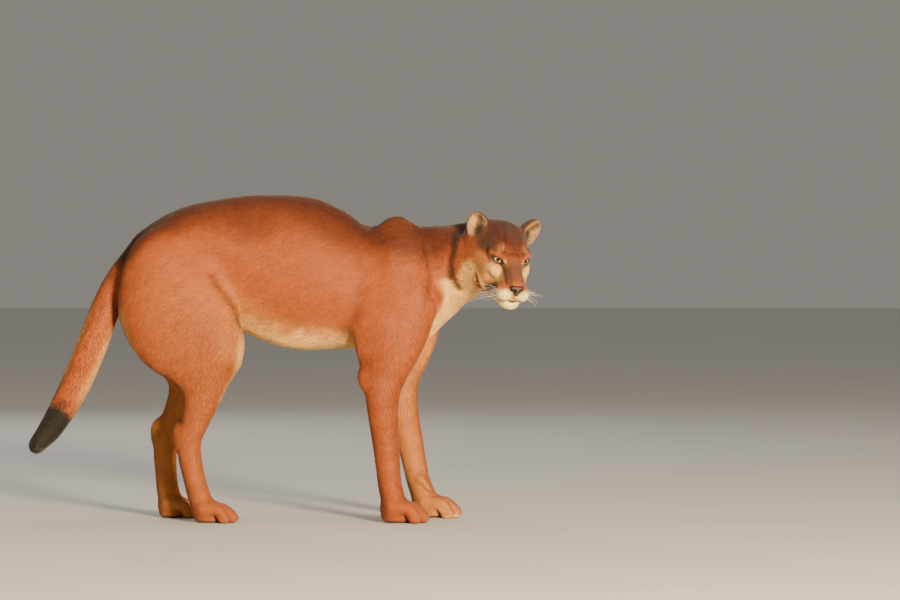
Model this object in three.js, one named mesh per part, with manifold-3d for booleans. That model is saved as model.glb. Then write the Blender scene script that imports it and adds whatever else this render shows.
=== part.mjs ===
// A life-size standing cougar, in millimetres: +X towards the chest, +Y to its left, +Z up.
// The coat's outer surface is one smooth field, negative inside the animal. Each named part is
// the piece of that field between a few cutting planes, so that the parts meet at thin gaps.
import * as THREE from "three";
import { mergeVertices } from "three/addons/utils/BufferGeometryUtils.js";
import Module from "manifold-3d";

const wasm = await Module();
wasm.setup();

// Driving dimensions
const GAP = 0.3; // left between neighbouring parts
const MIDDLE = { x: -27, y: -50 }; // middle of the outline seen from above, which becomes the origin
const HIP_HEIGHT = 568;
const SHOULDER_HEIGHT = 600;
const RIGHT = -1;
const LEFT = 1;

// Where each foot stands, as a shift of its ball from the drawn leg's
const HIND_STEP = { [RIGHT]: 0, [LEFT]: -88 };
const FORE_STEP = { [RIGHT]: -18, [LEFT]: 52 };

// Trunk, from the tail's root to the brisket: x, z, half depth and half width of the section
const TRUNK = [
  [-352, 546, 50, 54],
  [-305, 572, 80, 78],
  [-235, 597, 95, 90],
  [-160, 587, 122, 96],
  [-85, 562, 156, 103],
  [-5, 552, 163, 110],
  [75, 527, 141, 112],
  [145, 511, 137, 106],
  [205, 508, 134, 96],
  [250, 516, 112, 82],
  [278, 524, 84, 66],
];

// Neck, turning to the right: x, y, z, half depth and half width
const NECK = [
  [215, 0, 548, 98, 84],
  [280, -3, 555, 94, 78],
  [340, -20, 563, 89, 72],
  [388, -50, 582, 76, 67],
  [418, -82, 592, 66, 61],
];

// Tail, hanging behind and swung a little to the right: x, y, z and radius
const TAIL = [
  [-335, 0, 572, 42],
  [-388, 0, 530, 38],
  [-426, -14, 465, 34],
  [-453, -42, 388, 35],
  [-482, -82, 310, 34],
  [-506, -122, 256, 31],
  [-532, -165, 208, 27],
  [-556, -202, 176, 20],
];
const TAIL_CUTS = [0.17, 0.45, 0.72, 0.86]; // as shares of the way along the tail

// Legs from top to foot: x, z, half depth fore and aft, half width, and distance from the middle
const HIND_LEG = [
  [-276, 556, 95, 38, 60],
  [-266, 500, 122, 47, 73],
  [-252, 445, 129, 53, 83],
  [-227, 403, 107, 51, 88],
  [-210, 355, 79, 44, 90],
  [-206, 305, 52, 36, 88],
  [-213, 260, 40, 32, 85],
  [-227, 218, 33, 28, 82],
  [-240, 182, 30, 26, 80],
  [-238, 148, 27, 25, 79],
  [-228, 98, 25, 25, 78],
  [-217, 56, 26, 30, 78],
  [-207, 34, 25, 34, 78],
];
const FORE_LEG = [
  [216, 626, 45, 22, 42],
  [226, 580, 56, 27, 60],
  [236, 530, 64, 32, 74],
  [240, 480, 64, 36, 82],
  [230, 425, 64, 37, 88],
  [214, 370, 56, 36, 91],
  [200, 320, 45, 33, 92],
  [193, 280, 40, 34, 91],
  [196, 230, 35, 32, 88],
  [203, 175, 31, 29, 86],
  [209, 125, 28, 28, 84],
  [214, 85, 27, 32, 83],
  [222, 52, 28, 37, 83],
];
const HIND_BALL = { x: -205, y: 78 };
const FORE_BALL = { x: 224, y: 83 };
const TOE_SPREAD = [-33, -12, 12, 33]; // sideways from the foot's middle line
const TOE_REACH = [56, 71, 71, 56]; // forwards from the ball
const HIND_PAW_SIZE = 1.03; // share of the measures above and of a plain paw's
const FORE_PAW_SIZE = 1.12;

// Head pose. Its own axes are forward, left and up, from a point between the ears, and its own
// measures are those of a large male's head, which size brings down to this animal's.
const HEAD = { x: 436, y: -95, z: 582, turn: 17, nod: 16.5, tilt: -4.5, size: 0.91 };
const EYE = { forward: 82, side: 29.5, up: 16, radius: 16.5, splay: 20 };
const LIDS = { thick: 3, width: 31, height: 12, slant: 17 };
const EAR_LEAN = { [RIGHT]: 12, [LEFT]: 34 };
const EAR = { forward: -7, side: 55, up: 40, rise: 22, height: 41, width: 29, depth: 21, wall: 7 };
const EAR_CUT = { side: 54, up: 57, slope: 37, crown: 36, nape: -38 };
const NOSE = { forward: 161, up: -37, width: 37, height: 30, depth: 12, bevel: 3 };
const NOSTRIL = { forward: 176, side: 11, up: -35 };
const MOUTH = { forward: 112, up: -69, reach: 112, groove: 3 };

// Field tools
const BIG = 3000;
const FOLD = 0.001; // how close two vertices lie to count as one place
const FOLD_SHARE = 0.05; // how far such vertices move towards their neighbours
const degrees = THREE.MathUtils.degToRad;
const mix = THREE.MathUtils.lerp;

function smoothMin(a, b, blend) {
  const h = Math.max(blend - Math.abs(a - b), 0) / blend;
  return Math.min(a, b) - h * h * blend * 0.25;
}

function smoothMax(a, b, blend) {
  return -smoothMin(-a, -b, blend);
}

// Distance along the ray from a centre, given the ray's length and its length in radii.
function radial(length, reach, least) {
  return reach > 1e-3 ? length * (1 - 1 / reach) : -least;
}

// How far a point lies outside a box
function outside(x, y, z, [lx, ly, lz], [hx, hy, hz]) {
  const u = Math.max(lx - x, x - hx, 0);
  const v = Math.max(ly - y, y - hy, 0);
  const w = Math.max(lz - z, z - hz, 0);
  return Math.sqrt(u * u + v * v + w * w);
}

function ellipsoid([cx, cy, cz], [rx, ry, rz], blend) {
  const least = Math.min(rx, ry, rz);
  const low = [cx - rx, cy - ry, cz - rz];
  const high = [cx + rx, cy + ry, cz + rz];
  return {
    blend,
    at(x, y, z) {
      const clear = outside(x, y, z, low, high);
      if (clear > blend) return clear;
      const [u, v, w] = [x - cx, y - cy, z - cz];
      const [a, b, c] = [u / rx, v / ry, w / rz];
      return radial(Math.sqrt(u * u + v * v + w * w), Math.sqrt(a * a + b * b + c * c), least);
    },
  };
}

// A tube through stations of x, y, z, half depth and half width. The width is measured level and
// across a lying tube, and along y across a standing one.
function tube(stations, blend, standing = false, steps = 3) {
  const centre = new THREE.CatmullRomCurve3(stations.map((s) => new THREE.Vector3(s[0], s[1], s[2])));
  const sizes = new THREE.CatmullRomCurve3(stations.map((s) => new THREE.Vector3(s[3], s[4], 0)));
  const count = (stations.length - 1) * steps;
  const rings = Array.from({ length: count + 1 }, (_, i) => ({
    point: centre.getPoint(i / count),
    half: sizes.getPoint(i / count),
  }));
  const box = new THREE.Box3().setFromPoints(rings.map(({ point }) => point));
  box.expandByScalar(Math.max(...rings.map(({ half }) => Math.max(half.x, half.y))));
  const [low, high] = [box.min.toArray(), box.max.toArray()];
  const spans = rings.slice(1).map((end, i) => {
    const { point: a, half } = rings[i];
    const way = end.point.clone().sub(a);
    const across = standing ? new THREE.Vector3(0, 1, 0) : new THREE.Vector3(-way.y, way.x, 0).normalize();
    const place = [...a.toArray(), ...way.toArray(), 1 / way.lengthSq()];
    return [...place, half.x, half.y, end.half.x, end.half.y, across.x, across.y];
  });
  return {
    blend,
    centre,
    at(x, y, z) {
      const clear = outside(x, y, z, low, high);
      if (clear > blend) return clear;
      let best = Infinity;
      for (const [ax, ay, az, ex, ey, ez, inverse, deepA, wideA, deepB, wideB, sx, sy] of spans) {
        const t = Math.min(Math.max(((x - ax) * ex + (y - ay) * ey + (z - az) * ez) * inverse, 0), 1);
        const u = x - ax - t * ex;
        const v = y - ay - t * ey;
        const w = z - az - t * ez;
        const square = u * u + v * v + w * w;
        const sideways = u * sx + v * sy;
        const deep = deepA + (deepB - deepA) * t;
        const wide = wideA + (wideB - wideA) * t;
        const rest = Math.max(square - sideways * sideways, 0) / (deep * deep);
        const reach = Math.sqrt((sideways * sideways) / (wide * wide) + rest);
        best = Math.min(best, radial(Math.sqrt(square), reach, Math.min(wide, deep)));
      }
      return best;
    },
  };
}

function rod(from, to, blend) {
  return tube([from, to].map(([x, y, z, r]) => [x, y, z, r, r]), blend, true, 1);
}

// Shapes run together one by one
function joined([first, ...others]) {
  return (x, y, z) => {
    let value = first.at(x, y, z);
    for (const { at, blend } of others) value = smoothMin(value, at(x, y, z), blend);
    return value;
  };
}

// The trunk, its masses and the neck
function trunkShapes() {
  return [
    tube(TRUNK.map(([x, z, deep, wide]) => [x, 0, z, deep, wide]), 30),
    ellipsoid([248, 0, 449], [46, 44, 42], 40), // brisket
    ellipsoid([20, 0, 420], [110, 62, 42], 40), // breastbone and belly
    ellipsoid([-372, 0, 520], [30, 44, 52], 30), // root of the tail
  ];
}

// Legs lean from the trunk's joint, so that a step shifts the foot most and the joint not at all.
function lean(rows, side, step, height) {
  return rows.map(([x, z, deep, wide, out]) => {
    const share = Math.min(Math.max((height - z) / height, 0), 1);
    return [x + step * share, side * out, z, deep, wide];
  });
}

function pawShapes(side, ballX, ballY, size) {
  const y = side * ballY;
  const toes = TOE_SPREAD.map((spread, i) => {
    const [out, reach] = [spread * size, TOE_REACH[i] * size];
    const knuckle = [ballX + reach * 0.55, y + out * 0.95, 27 * size, 14 * size, 14 * size];
    const rows = [
      [ballX, y + out * 0.75, 32 * size, 15 * size, 14 * size],
      knuckle,
      [ballX + reach - 14 * size, y + out, 11 * size, 14.5 * size, 13 * size],
    ];
    return tube(rows, 7 * size, true, 2);
  });
  return [
    ellipsoid([ballX + 6, y, 24 * size], [32 * size, 36 * size, 25 * size], 14),
    ellipsoid([ballX + 8, y, 9 * size], [30 * size, 30 * size, 14 * size], 10),
    ...toes,
  ];
}

function hindShapes(side) {
  const step = HIND_STEP[side];
  const [kneeStep, hockStep] = [step * 0.33, step * 0.68];
  return [
    tube(lean(HIND_LEG, side, step, HIP_HEIGHT), 26, true),
    ellipsoid([-168 + kneeStep, side * 92, 388], [48, 40, 62], 30), // knee and kneecap
    ellipsoid([-318 + kneeStep * 0.5, side * 66, 478], [72, 46, 84], 34), // back of the thigh
    ellipsoid([-300, side * 78, 565], [70, 34, 62], 36), // hip
    ellipsoid([-258 + hockStep, side * 80, 192], [19, 14, 30], 16), // heel bone
    ...pawShapes(side, HIND_BALL.x + step, HIND_BALL.y, HIND_PAW_SIZE),
  ];
}

function foreShapes(side) {
  const step = FORE_STEP[side];
  const elbowStep = step * 0.5;
  return [
    tube(lean(FORE_LEG, side, step, SHOULDER_HEIGHT), 20, true),
    ellipsoid([184 + elbowStep * 0.6, side * 86, 408], [62, 34, 84], 24), // triceps
    ellipsoid([268, side * 78, 496], [40, 36, 52], 24), // point of the shoulder
    ellipsoid([160 + elbowStep, side * 92, 318], [25, 18, 30], 20), // elbow
    rod([212 + step, side * 56, 88, 11], [229 + step, side * 52, 66, 7], 8), // dewclaw
    ...pawShapes(side, FORE_BALL.x + step, FORE_BALL.y, FORE_PAW_SIZE),
  ];
}

// The head, in its own axes
const bothSides = (make) => [RIGHT, LEFT].map(make);

function headShapes() {
  return [
    ellipsoid([4, 0, 16], [74, 64, 67], 20), // braincase
    tube([[16, 0, 34, 46, 50], [60, 0, 30, 42, 44], [92, 0, 14, 30, 32]], 20), // forehead
    tube([[84, 0, 10, 29, 26], [120, 0, -11, 24, 22], [152, 0, -31, 19, 18]], 14), // bridge of the nose
    ellipsoid([112, 0, -34], [50, 33, 30], 16), // upper jaw
    ellipsoid([44, 0, -44], [70, 41, 32], 24), // floor of the mouth
    ellipsoid([128, 0, -78], [23, 23, 17], 12), // chin
    ...bothSides((side) => ellipsoid([132, side * 20, -51], [33, 22, 23], 8)), // whisker pads
    ...bothSides((side) =>
      tube([[90, side * 35, -12, 17, 15], [52, side * 45, -6, 23, 18], [6, side * 47, 0, 27, 20]], 16),
    ), // cheekbones
    ...bothSides((side) => ellipsoid([32, side * 38, -42], [48, 25, 37], 20)), // jaw muscles
    ...bothSides((side) =>
      tube([[24, side * 34, -58, 18, 14], [82, side * 26, -68, 15, 14], [118, side * 12, -77, 13, 13]], 12),
    ), // lower jaw
    ...bothSides((side) => ellipsoid([-10, side * 50, -46], [38, 25, 43], 24)), // cheek ruff
    ...bothSides((side) => tube([[86, side * 15, 30, 13, 14], [72, side * 40, 28, 13, 14]], 16)), // brows
    ...bothSides((side) => ellipsoid(eyeCentre(side).toArray(), Array(3).fill(EYE.radius + LIDS.thick), 8)),
  ];
}

function eyeCentre(side) {
  return new THREE.Vector3(EYE.forward, side * EYE.side, EYE.up);
}

// An ear is the shell between two leaning ellipsoids; the inner one is pushed out at the front.
function earAxes(side) {
  const angle = degrees(EAR_LEAN[side]);
  const up = new THREE.Vector3(-0.1, side * Math.sin(angle), Math.cos(angle)).normalize();
  const open = new THREE.Vector3(0.88, side * 0.48, 0);
  open.addScaledVector(up, -open.dot(up)).normalize();
  return { up, open, wide: new THREE.Vector3().crossVectors(up, open) };
}

function earShape(side) {
  const { up, open, wide } = earAxes(side);
  const base = new THREE.Vector3(EAR.forward, side * EAR.side, EAR.up);
  const { rise, height, width, depth, wall } = EAR;
  const shell = ellipsoid([rise, 0, 0], [height, depth, width], 60);
  const cup = ellipsoid([rise + 4, depth * 0.75, 0], [height - wall, depth, width - wall], 60);
  const point = new THREE.Vector3();
  return {
    blend: 12,
    at(x, y, z) {
      point.set(x, y, z).sub(base);
      const spot = [point.dot(up), point.dot(open), point.dot(wide)];
      return smoothMax(shell.at(...spot), -cup.at(...spot), 5);
    },
  };
}

function headMatrix() {
  const turn = degrees(HEAD.turn);
  const forward = new THREE.Vector3(Math.sin(turn), -Math.cos(turn), 0);
  const left = new THREE.Vector3(Math.cos(turn), Math.sin(turn), 0);
  const up = new THREE.Vector3(0, 0, 1);
  const nod = new THREE.Matrix4().makeRotationAxis(left, degrees(HEAD.nod));
  const tilt = new THREE.Matrix4().makeRotationAxis(forward, degrees(HEAD.tilt));
  const axes = new THREE.Matrix4().makeBasis(forward, left, up);
  const place = new THREE.Matrix4().makeTranslation(HEAD.x, HEAD.y, HEAD.z);
  const size = new THREE.Matrix4().makeScale(HEAD.size, HEAD.size, HEAD.size);
  return place.multiply(nod).multiply(tilt).multiply(axes).multiply(size);
}

const headToBody = headMatrix();
const bodyToHead = headToBody.clone().invert();

// Turns a field in the head's own axes and measures into one in the body's, or back
function moved(field, matrix, size) {
  const point = new THREE.Vector3();
  return (x, y, z) => {
    point.set(x, y, z).applyMatrix4(matrix);
    return field(point.x, point.y, point.z) * size;
  };
}

// The whole field, and the parts of it that stay clear of the tail
const neckField = tube(NECK, 28);
const tailField = tube(TAIL.map(([x, y, z, r]) => [x, y, z, r, r]), 20);
const trunkField = joined([
  ...trunkShapes(),
  neckField,
  ...bothSides((side) => ({ blend: 22, at: joined(hindShapes(side)) })),
  ...bothSides((side) => ({ blend: 34, at: joined(foreShapes(side)) })),
]);
const skullField = joined([...headShapes(), ...bothSides(earShape)]);
const headField = moved(skullField, bodyToHead, HEAD.size);

function frontField(x, y, z) {
  return smoothMin(trunkField(x, y, z), headField(x, y, z), 26);
}

function rearField(x, y, z) {
  return smoothMin(trunkField(x, y, z), tailField.at(x, y, z), tailField.blend);
}

// Grid lines from low to high, whose spacing is a number or depends on the place
function lines(low, high, spacing) {
  const step = typeof spacing === "number" ? () => spacing : spacing;
  const places = [low - step(low) * 1.4];
  while (places.at(-1) < high + step(high)) places.push(places.at(-1) + step(places.at(-1)));
  return places;
}

// Closed surface of a field inside a box, with one vertex in each grid cell that it crosses
function surfaceOf(field, low, high, cell) {
  const grid = low.map((v, axis) => lines(v, high[axis], Array.isArray(cell) ? cell[axis] : cell));
  const boxed = (x, y, z) =>
    Math.max(field(x, y, z), low[0] - x, x - high[0], low[1] - y, y - high[1], low[2] - z, z - high[2]);
  const [nx, ny, nz] = grid.map((places) => places.length);
  const index = (i, j, k) => i + nx * (j + ny * k);
  const values = new Float64Array(nx * ny * nz);
  for (let k = 0; k < nz; k++)
    for (let j = 0; j < ny; j++)
      for (let i = 0; i < nx; i++) values[index(i, j, k)] = boxed(grid[0][i], grid[1][j], grid[2][k]);
  const vertices = [];
  const vertexOf = new Map();
  for (let k = 0; k < nz - 1; k++)
    for (let j = 0; j < ny - 1; j++)
      for (let i = 0; i < nx - 1; i++) {
        const middle = crossing(values, index, i, j, k);
        if (!middle) continue;
        vertexOf.set(index(i, j, k), vertices.length / 3);
        const corner = [i, j, k].map((n, axis) => grid[axis][n]);
        const sides = [i, j, k].map((n, axis) => grid[axis][n + 1] - grid[axis][n]);
        vertices.push(...settle(boxed, corner, sides, middle));
      }
  const faces = [];
  const strides = [1, nx, nx * ny];
  for (let k = 1; k < nz - 1; k++)
    for (let j = 1; j < ny - 1; j++)
      for (let i = 1; i < nx - 1; i++) {
        const here = index(i, j, k);
        strides.forEach((stride, axis) => {
          const [a, b] = [values[here] < 0, values[here + stride] < 0];
          if (a === b) return;
          const [s, t] = [strides[(axis + 1) % 3], strides[(axis + 2) % 3]];
          const ring = [here, here - s, here - s - t, here - t].map((n) => vertexOf.get(n));
          if (b) ring.reverse();
          faces.push(ring[0], ring[1], ring[2], ring[0], ring[2], ring[3]);
        });
      }
  const geometry = new THREE.BufferGeometry();
  geometry.setAttribute("position", new THREE.BufferAttribute(new Float32Array(vertices), 3));
  geometry.setIndex(faces);
  return geometry;
}

// Mean of the points where a cell's edges cross zero, in shares of the cell, or null
const CORNERS = [0, 1, 2, 3, 4, 5, 6, 7].map((n) => [n & 1, (n >> 1) & 1, n >> 2]);
const EDGES = CORNERS.flatMap((_, n) => [1, 2, 4].filter((bit) => !(n & bit)).map((bit) => [n, n | bit]));

function crossing(values, index, i, j, k) {
  const corner = CORNERS.map(([a, b, c]) => values[index(i + a, j + b, k + c)]);
  const sum = [0, 0, 0];
  let count = 0;
  for (const [a, b] of EDGES) {
    if (corner[a] < 0 === corner[b] < 0) continue;
    const t = corner[a] / (corner[a] - corner[b]);
    count += 1;
    sum.forEach((_, axis) => (sum[axis] += mix(CORNERS[a][axis], CORNERS[b][axis], t)));
  }
  return count ? sum.map((v) => v / count) : null;
}

// Moves a point down the field's slope until it lies on the surface, within its own cell
function settle(field, corner, sides, middle) {
  const step = Math.min(...sides) * 0.02;
  let spot = corner.map((v, axis) => v + sides[axis] * middle[axis]);
  for (let round = 0; round < 3; round++) {
    const value = field(...spot);
    const slope = spot.map((_, axis) => {
      const next = [...spot];
      next[axis] += step;
      return (field(...next) - value) / step;
    });
    const steep = Math.max(slope[0] ** 2 + slope[1] ** 2 + slope[2] ** 2, 0.05);
    spot = spot.map((v, axis) => {
      const shift = THREE.MathUtils.clamp((value * slope[axis]) / steep, -sides[axis] / 3, sides[axis] / 3);
      return THREE.MathUtils.clamp(v - shift, corner[axis], corner[axis] + sides[axis]);
    });
  }
  return spot;
}

// Solids, cuts and joins
function solidOf(geometry) {
  const plain = geometry.clone();
  plain.deleteAttribute("normal");
  plain.deleteAttribute("uv");
  const merged = mergeVertices(plain, 1e-4);
  return new wasm.Manifold(
    new wasm.Mesh({
      numProp: 3,
      vertProperties: new Float32Array(merged.attributes.position.array),
      triVerts: new Uint32Array(merged.index.array),
    }),
  );
}

function geometryOf(solid) {
  const made = solid.getMesh();
  const geometry = new THREE.BufferGeometry();
  geometry.setAttribute("position", new THREE.BufferAttribute(made.vertProperties, 3));
  geometry.setIndex(new THREE.BufferAttribute(made.triVerts, 1));
  return folded(geometry);
}

// Draws apart vertices that share a place but lie on two folds, each towards its own neighbours
function folded(geometry) {
  const places = geometry.attributes.position;
  const around = Array.from({ length: places.count }, () => new Set());
  const index = geometry.index.array;
  for (let i = 0; i < index.length; i += 3) {
    const corners = [index[i], index[i + 1], index[i + 2]];
    for (const a of corners) for (const b of corners) if (a !== b) around[a].add(b);
  }
  const at = (i) => new THREE.Vector3().fromBufferAttribute(places, i);
  const shared = new Map();
  around.forEach((_, i) => {
    const key = at(i).toArray().map((v) => Math.round(v / FOLD)).join();
    shared.set(key, [...(shared.get(key) ?? []), i]);
  });
  const moves = [...shared.values()].filter((same) => same.length > 1).flat().map((i) => {
    const mean = new THREE.Vector3();
    around[i].forEach((b) => mean.addScaledVector(at(b), 1 / around[i].size));
    return [i, at(i).lerp(mean, FOLD_SHARE)];
  });
  for (const [i, to] of moves) places.setXYZ(i, to.x, to.y, to.z);
  return geometry;
}

// The space behind a plane: a huge block with one face on it
function behind({ at, out }, grow) {
  const normal = new THREE.Vector3(...out).normalize();
  const block = new THREE.BoxGeometry(BIG, BIG, BIG).translate(0, 0, grow - BIG / 2);
  block.applyQuaternion(new THREE.Quaternion().setFromUnitVectors(new THREE.Vector3(0, 0, 1), normal));
  return solidOf(block.translate(...at));
}

function space(planes, grow) {
  return planes.map((plane) => behind(plane, grow)).reduce((a, b) => a.intersect(b));
}

const flip = ({ at, out }) => ({ at, out: out.map((v) => -v) });

function largest(solid) {
  return solid.decompose().reduce((a, b) => (b.volume() > a.volume() ? b : a));
}

// A piece of a field: what lies behind every plane, less what belongs to its neighbours
function piece(field, low, high, cell, planes, without = []) {
  let solid = solidOf(surfaceOf(field, low, high, cell)).intersect(space(planes, -GAP / 2));
  for (const other of without) solid = solid.subtract(other);
  return largest(solid);
}

// Cutting planes: a point, and the way out of the first-named part
const onFloor = { at: [0, 0, -GAP / 2], out: [0, 0, -1] };
const chestToNeck = { at: [309, 0, 540], out: [0.996, 0, 0.082] };
const chestToBelly = { at: [45, 0, 540], out: [-1, 0, 0] };
const bellyToRump = { at: [-165, 0, 600], out: [-1, 0, 0] };
const neckToHead = headPlane([-30, 0, 0], [0.9, -0.42, 0.1]);

function headPlane(at, out) {
  const outer = new THREE.Vector3(...out).transformDirection(headToBody);
  return { at: new THREE.Vector3(...at).applyMatrix4(headToBody).toArray(), out: outer.toArray() };
}

function thighPlanes(side) {
  const kneeDrop = side === RIGHT ? 325 : 312;
  return [
    { at: [0, side * 8, 380], out: [0, -side * 0.934, 0.356] },
    { at: [-121 + HIND_STEP[side] * 0.3, 0, 440], out: [0.842, 0, 0.54] },
    { at: [0, 0, kneeDrop], out: [0, 0, -1] },
    { at: [0, side * 0.1, 0], out: [0, -side, 0] },
  ];
}

function shoulderPlanes(side) {
  return [
    { at: [0, side * 28, 350], out: [0, -side * 0.964, 0.266] },
    { at: [118, 0, 400], out: [-1, 0, 0] },
    chestToNeck,
    { at: [190, 0, 290], out: [-0.15, 0, -1] },
  ];
}

// An ear's space: above the slope of the skull, outside its crown and in front of the nape
function earPlanes(side) {
  const { side: base, up, slope, crown, nape } = EAR_CUT;
  const tilt = degrees(slope);
  return [
    headPlane([0, side * base, up], [0, -side * Math.sin(tilt), -Math.cos(tilt)]),
    headPlane([0, side * crown, 0], [0, -side, 0]),
    headPlane([nape, 0, 0], [-1, 0, 0]),
  ];
}

function tailPlane(share) {
  const along = tailField.centre.getPoint(share);
  return { at: along.toArray(), out: tailField.centre.getTangent(share).toArray() };
}

// Materials, by what each part is made of
const looks = {
  tawny_coat: { color: 0xa8673c, roughness: 0.9 },
  dark_tip: { color: 0x1e1512, roughness: 0.9 },
  nose_leather: { color: 0x8a4a3c, roughness: 0.55 },
  eye: { color: 0xb98a3a, roughness: 0.1 },
};

const cougar = new THREE.Group();

function add(name, look, solid) {
  const mesh = new THREE.Mesh(geometryOf(solid), new THREE.MeshStandardMaterial(looks[look]));
  mesh.name = name;
  mesh.position.set(-MIDDLE.x, -MIDDLE.y, 0);
  cougar.add(mesh);
}

// Trunk and neck
const legSpaces = bothSides((side) => [thighPlanes(side), shoulderPlanes(side)]).flat();
const legRoom = legSpaces.map((planes) => space(planes, GAP / 2));
const earRoom = bothSides((side) => space(earPlanes(side), GAP / 2));
const trunkCell = [38, 26, 26];

add("chest", "tawny_coat", piece(trunkField, [10, -150, 340], [350, 150, 700], trunkCell,
  [chestToNeck, chestToBelly], legRoom));
add("belly", "tawny_coat", piece(trunkField, [-205, -150, 340], [85, 150, 740], trunkCell,
  [flip(chestToBelly), bellyToRump], legRoom));
add("rump", "tawny_coat", piece(rearField, [-470, -150, 340], [-125, 150, 740], trunkCell,
  [flip(bellyToRump), tailPlane(TAIL_CUTS[0])], legRoom));
add("neck", "tawny_coat", piece(frontField, [270, -200, 400], [520, 120, 700], 23,
  [flip(chestToNeck), neckToHead], earRoom));

// Tail
const tailCell = [20, 20, 25];
const tailBox = [[-620, -260, 110], [-300, 60, 640]];
const tailNames = ["tail_root", "tail_middle", "tail_end", "tail_tip"];
tailNames.forEach((name, i) => {
  const planes = [flip(tailPlane(TAIL_CUTS[i]))];
  const last = i === tailNames.length - 1;
  if (!last) planes.push(tailPlane(TAIL_CUTS[i + 1]));
  add(name, last ? "dark_tip" : "tawny_coat", piece(tailField.at, ...tailBox, tailCell, planes));
});
const TAIL_CLEARANCE = 1; // kept between the tail and a thigh, where the tail is meshed coarsely
const tailRoom = solidOf(surfaceOf((x, y, z) => tailField.at(x, y, z) - TAIL_CLEARANCE, ...tailBox, tailCell));

// Legs, each in three lengths: name, lowest and highest corner for a right leg, cell and planes
function addLeg(side, rows) {
  for (const [name, low, high, cell, planes, without] of rows) {
    const corners = [low, high].map(([x, y, z]) => [x, side === RIGHT ? y : -y, z]);
    const [front, back] = corners;
    [front[1], back[1]] = [Math.min(front[1], back[1]), Math.max(front[1], back[1])];
    add(name + (side === RIGHT ? "_right" : "_left"), "tawny_coat",
      piece(trunkField, front, back, cell, planes, without));
  }
}

for (const side of [RIGHT, LEFT]) {
  const thigh = thighPlanes(side);
  const midline = thigh[3];
  const shoulder = shoulderPlanes(side);
  const hock = { at: [-238 + HIND_STEP[side] * 0.68, 0, 186], out: [0.25, 0, -0.97] };
  const wrist = { at: [210, 0, 106], out: [0, 0, -1] };
  addLeg(side, [
    ["thigh", [-430, -170, 290], [-60, 0, 700], [25, 18, 27], thigh, [tailRoom]],
    ["shank", [-430, -170, 150], [-60, 0, 350], [17, 15, 23], [flip(thigh[2]), hock, midline], []],
    ["hind_foot", [-430, -170, -20], [-60, 0, 230], [14, 13, 15], [flip(hock), onFloor, midline], []],
    ["shoulder", [90, -170, 260], [340, 0, 700], [24, 18, 27], shoulder, []],
    ["forearm", [90, -170, 80], [380, 0, 330], [17, 15, 24], [flip(shoulder[3]), wrist, midline], []],
    ["forepaw", [90, -170, -20], [390, 0, 130], [13.5, 13, 13], [flip(wrist), onFloor, midline], []],
  ]);
}

// Head: the whole surface, then what is set into it and cut from it
function placed(geometry) {
  return solidOf(geometry.applyMatrix4(headToBody));
}

function eyeSocket(side) {
  const splay = degrees(EYE.splay);
  const gaze = new THREE.Vector3(Math.cos(splay), side * Math.sin(splay), 0);
  const across = new THREE.Vector3(-gaze.y, gaze.x, 0).applyAxisAngle(gaze, side * degrees(LIDS.slant));
  const up = new THREE.Vector3().crossVectors(gaze, across);
  const [w, h] = [LIDS.width / 2, LIDS.height / 2];
  const opening = new THREE.Shape().moveTo(-w, 0).quadraticCurveTo(0, -2 * h, w, 0).quadraticCurveTo(0, 2 * h, -w, 0);
  const slot = new THREE.ExtrudeGeometry(opening, { depth: 40, bevelEnabled: false, curveSegments: 4 });
  slot.applyMatrix4(new THREE.Matrix4().makeBasis(across, up, gaze)).translate(...eyeCentre(side).toArray());
  return placed(slot).add(eyeball(side, GAP));
}

function eyeball(side, grow) {
  return placed(new THREE.SphereGeometry(EYE.radius + grow, 14, 8).translate(...eyeCentre(side).toArray()));
}

// Walks out from a point inside the head until it meets the surface
function surfacePoint(from, way) {
  const point = new THREE.Vector3();
  const reach = (t) => point.copy(from).addScaledVector(way, t);
  let [near, far] = [0, 100];
  for (let i = 0; i < 24; i++) {
    const t = (near + far) / 2;
    reach(t);
    if (skullField(point.x, point.y, point.z) < 0) near = t;
    else far = t;
  }
  return reach(near).clone();
}

function groove(points, radius) {
  const round = new THREE.Shape().absarc(0, 0, radius, 0, Math.PI * 2);
  const path = new THREE.CatmullRomCurve3(points);
  const options = { steps: points.length + 1, extrudePath: path, curveSegments: 3, bevelEnabled: false };
  return placed(new THREE.ExtrudeGeometry(round, options));
}

function mouthLine() {
  const points = [];
  for (let angle = -MOUTH.reach; angle <= MOUTH.reach; angle += MOUTH.reach / 6) {
    const a = degrees(angle);
    const drop = 5 * Math.pow(Math.abs(angle) / MOUTH.reach, 3);
    const from = new THREE.Vector3(MOUTH.forward, 0, MOUTH.up - drop);
    points.push(surfacePoint(from, new THREE.Vector3(Math.cos(a), Math.sin(a), 0)));
  }
  return groove(points, MOUTH.groove);
}

function philtrum() {
  const heights = [NOSE.up - 10, (NOSE.up + MOUTH.up) / 2, MOUTH.up];
  const points = heights.map((up) => surfacePoint(new THREE.Vector3(120, 0, up), new THREE.Vector3(1, 0, 0)));
  return groove(points, MOUTH.groove);
}

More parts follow.
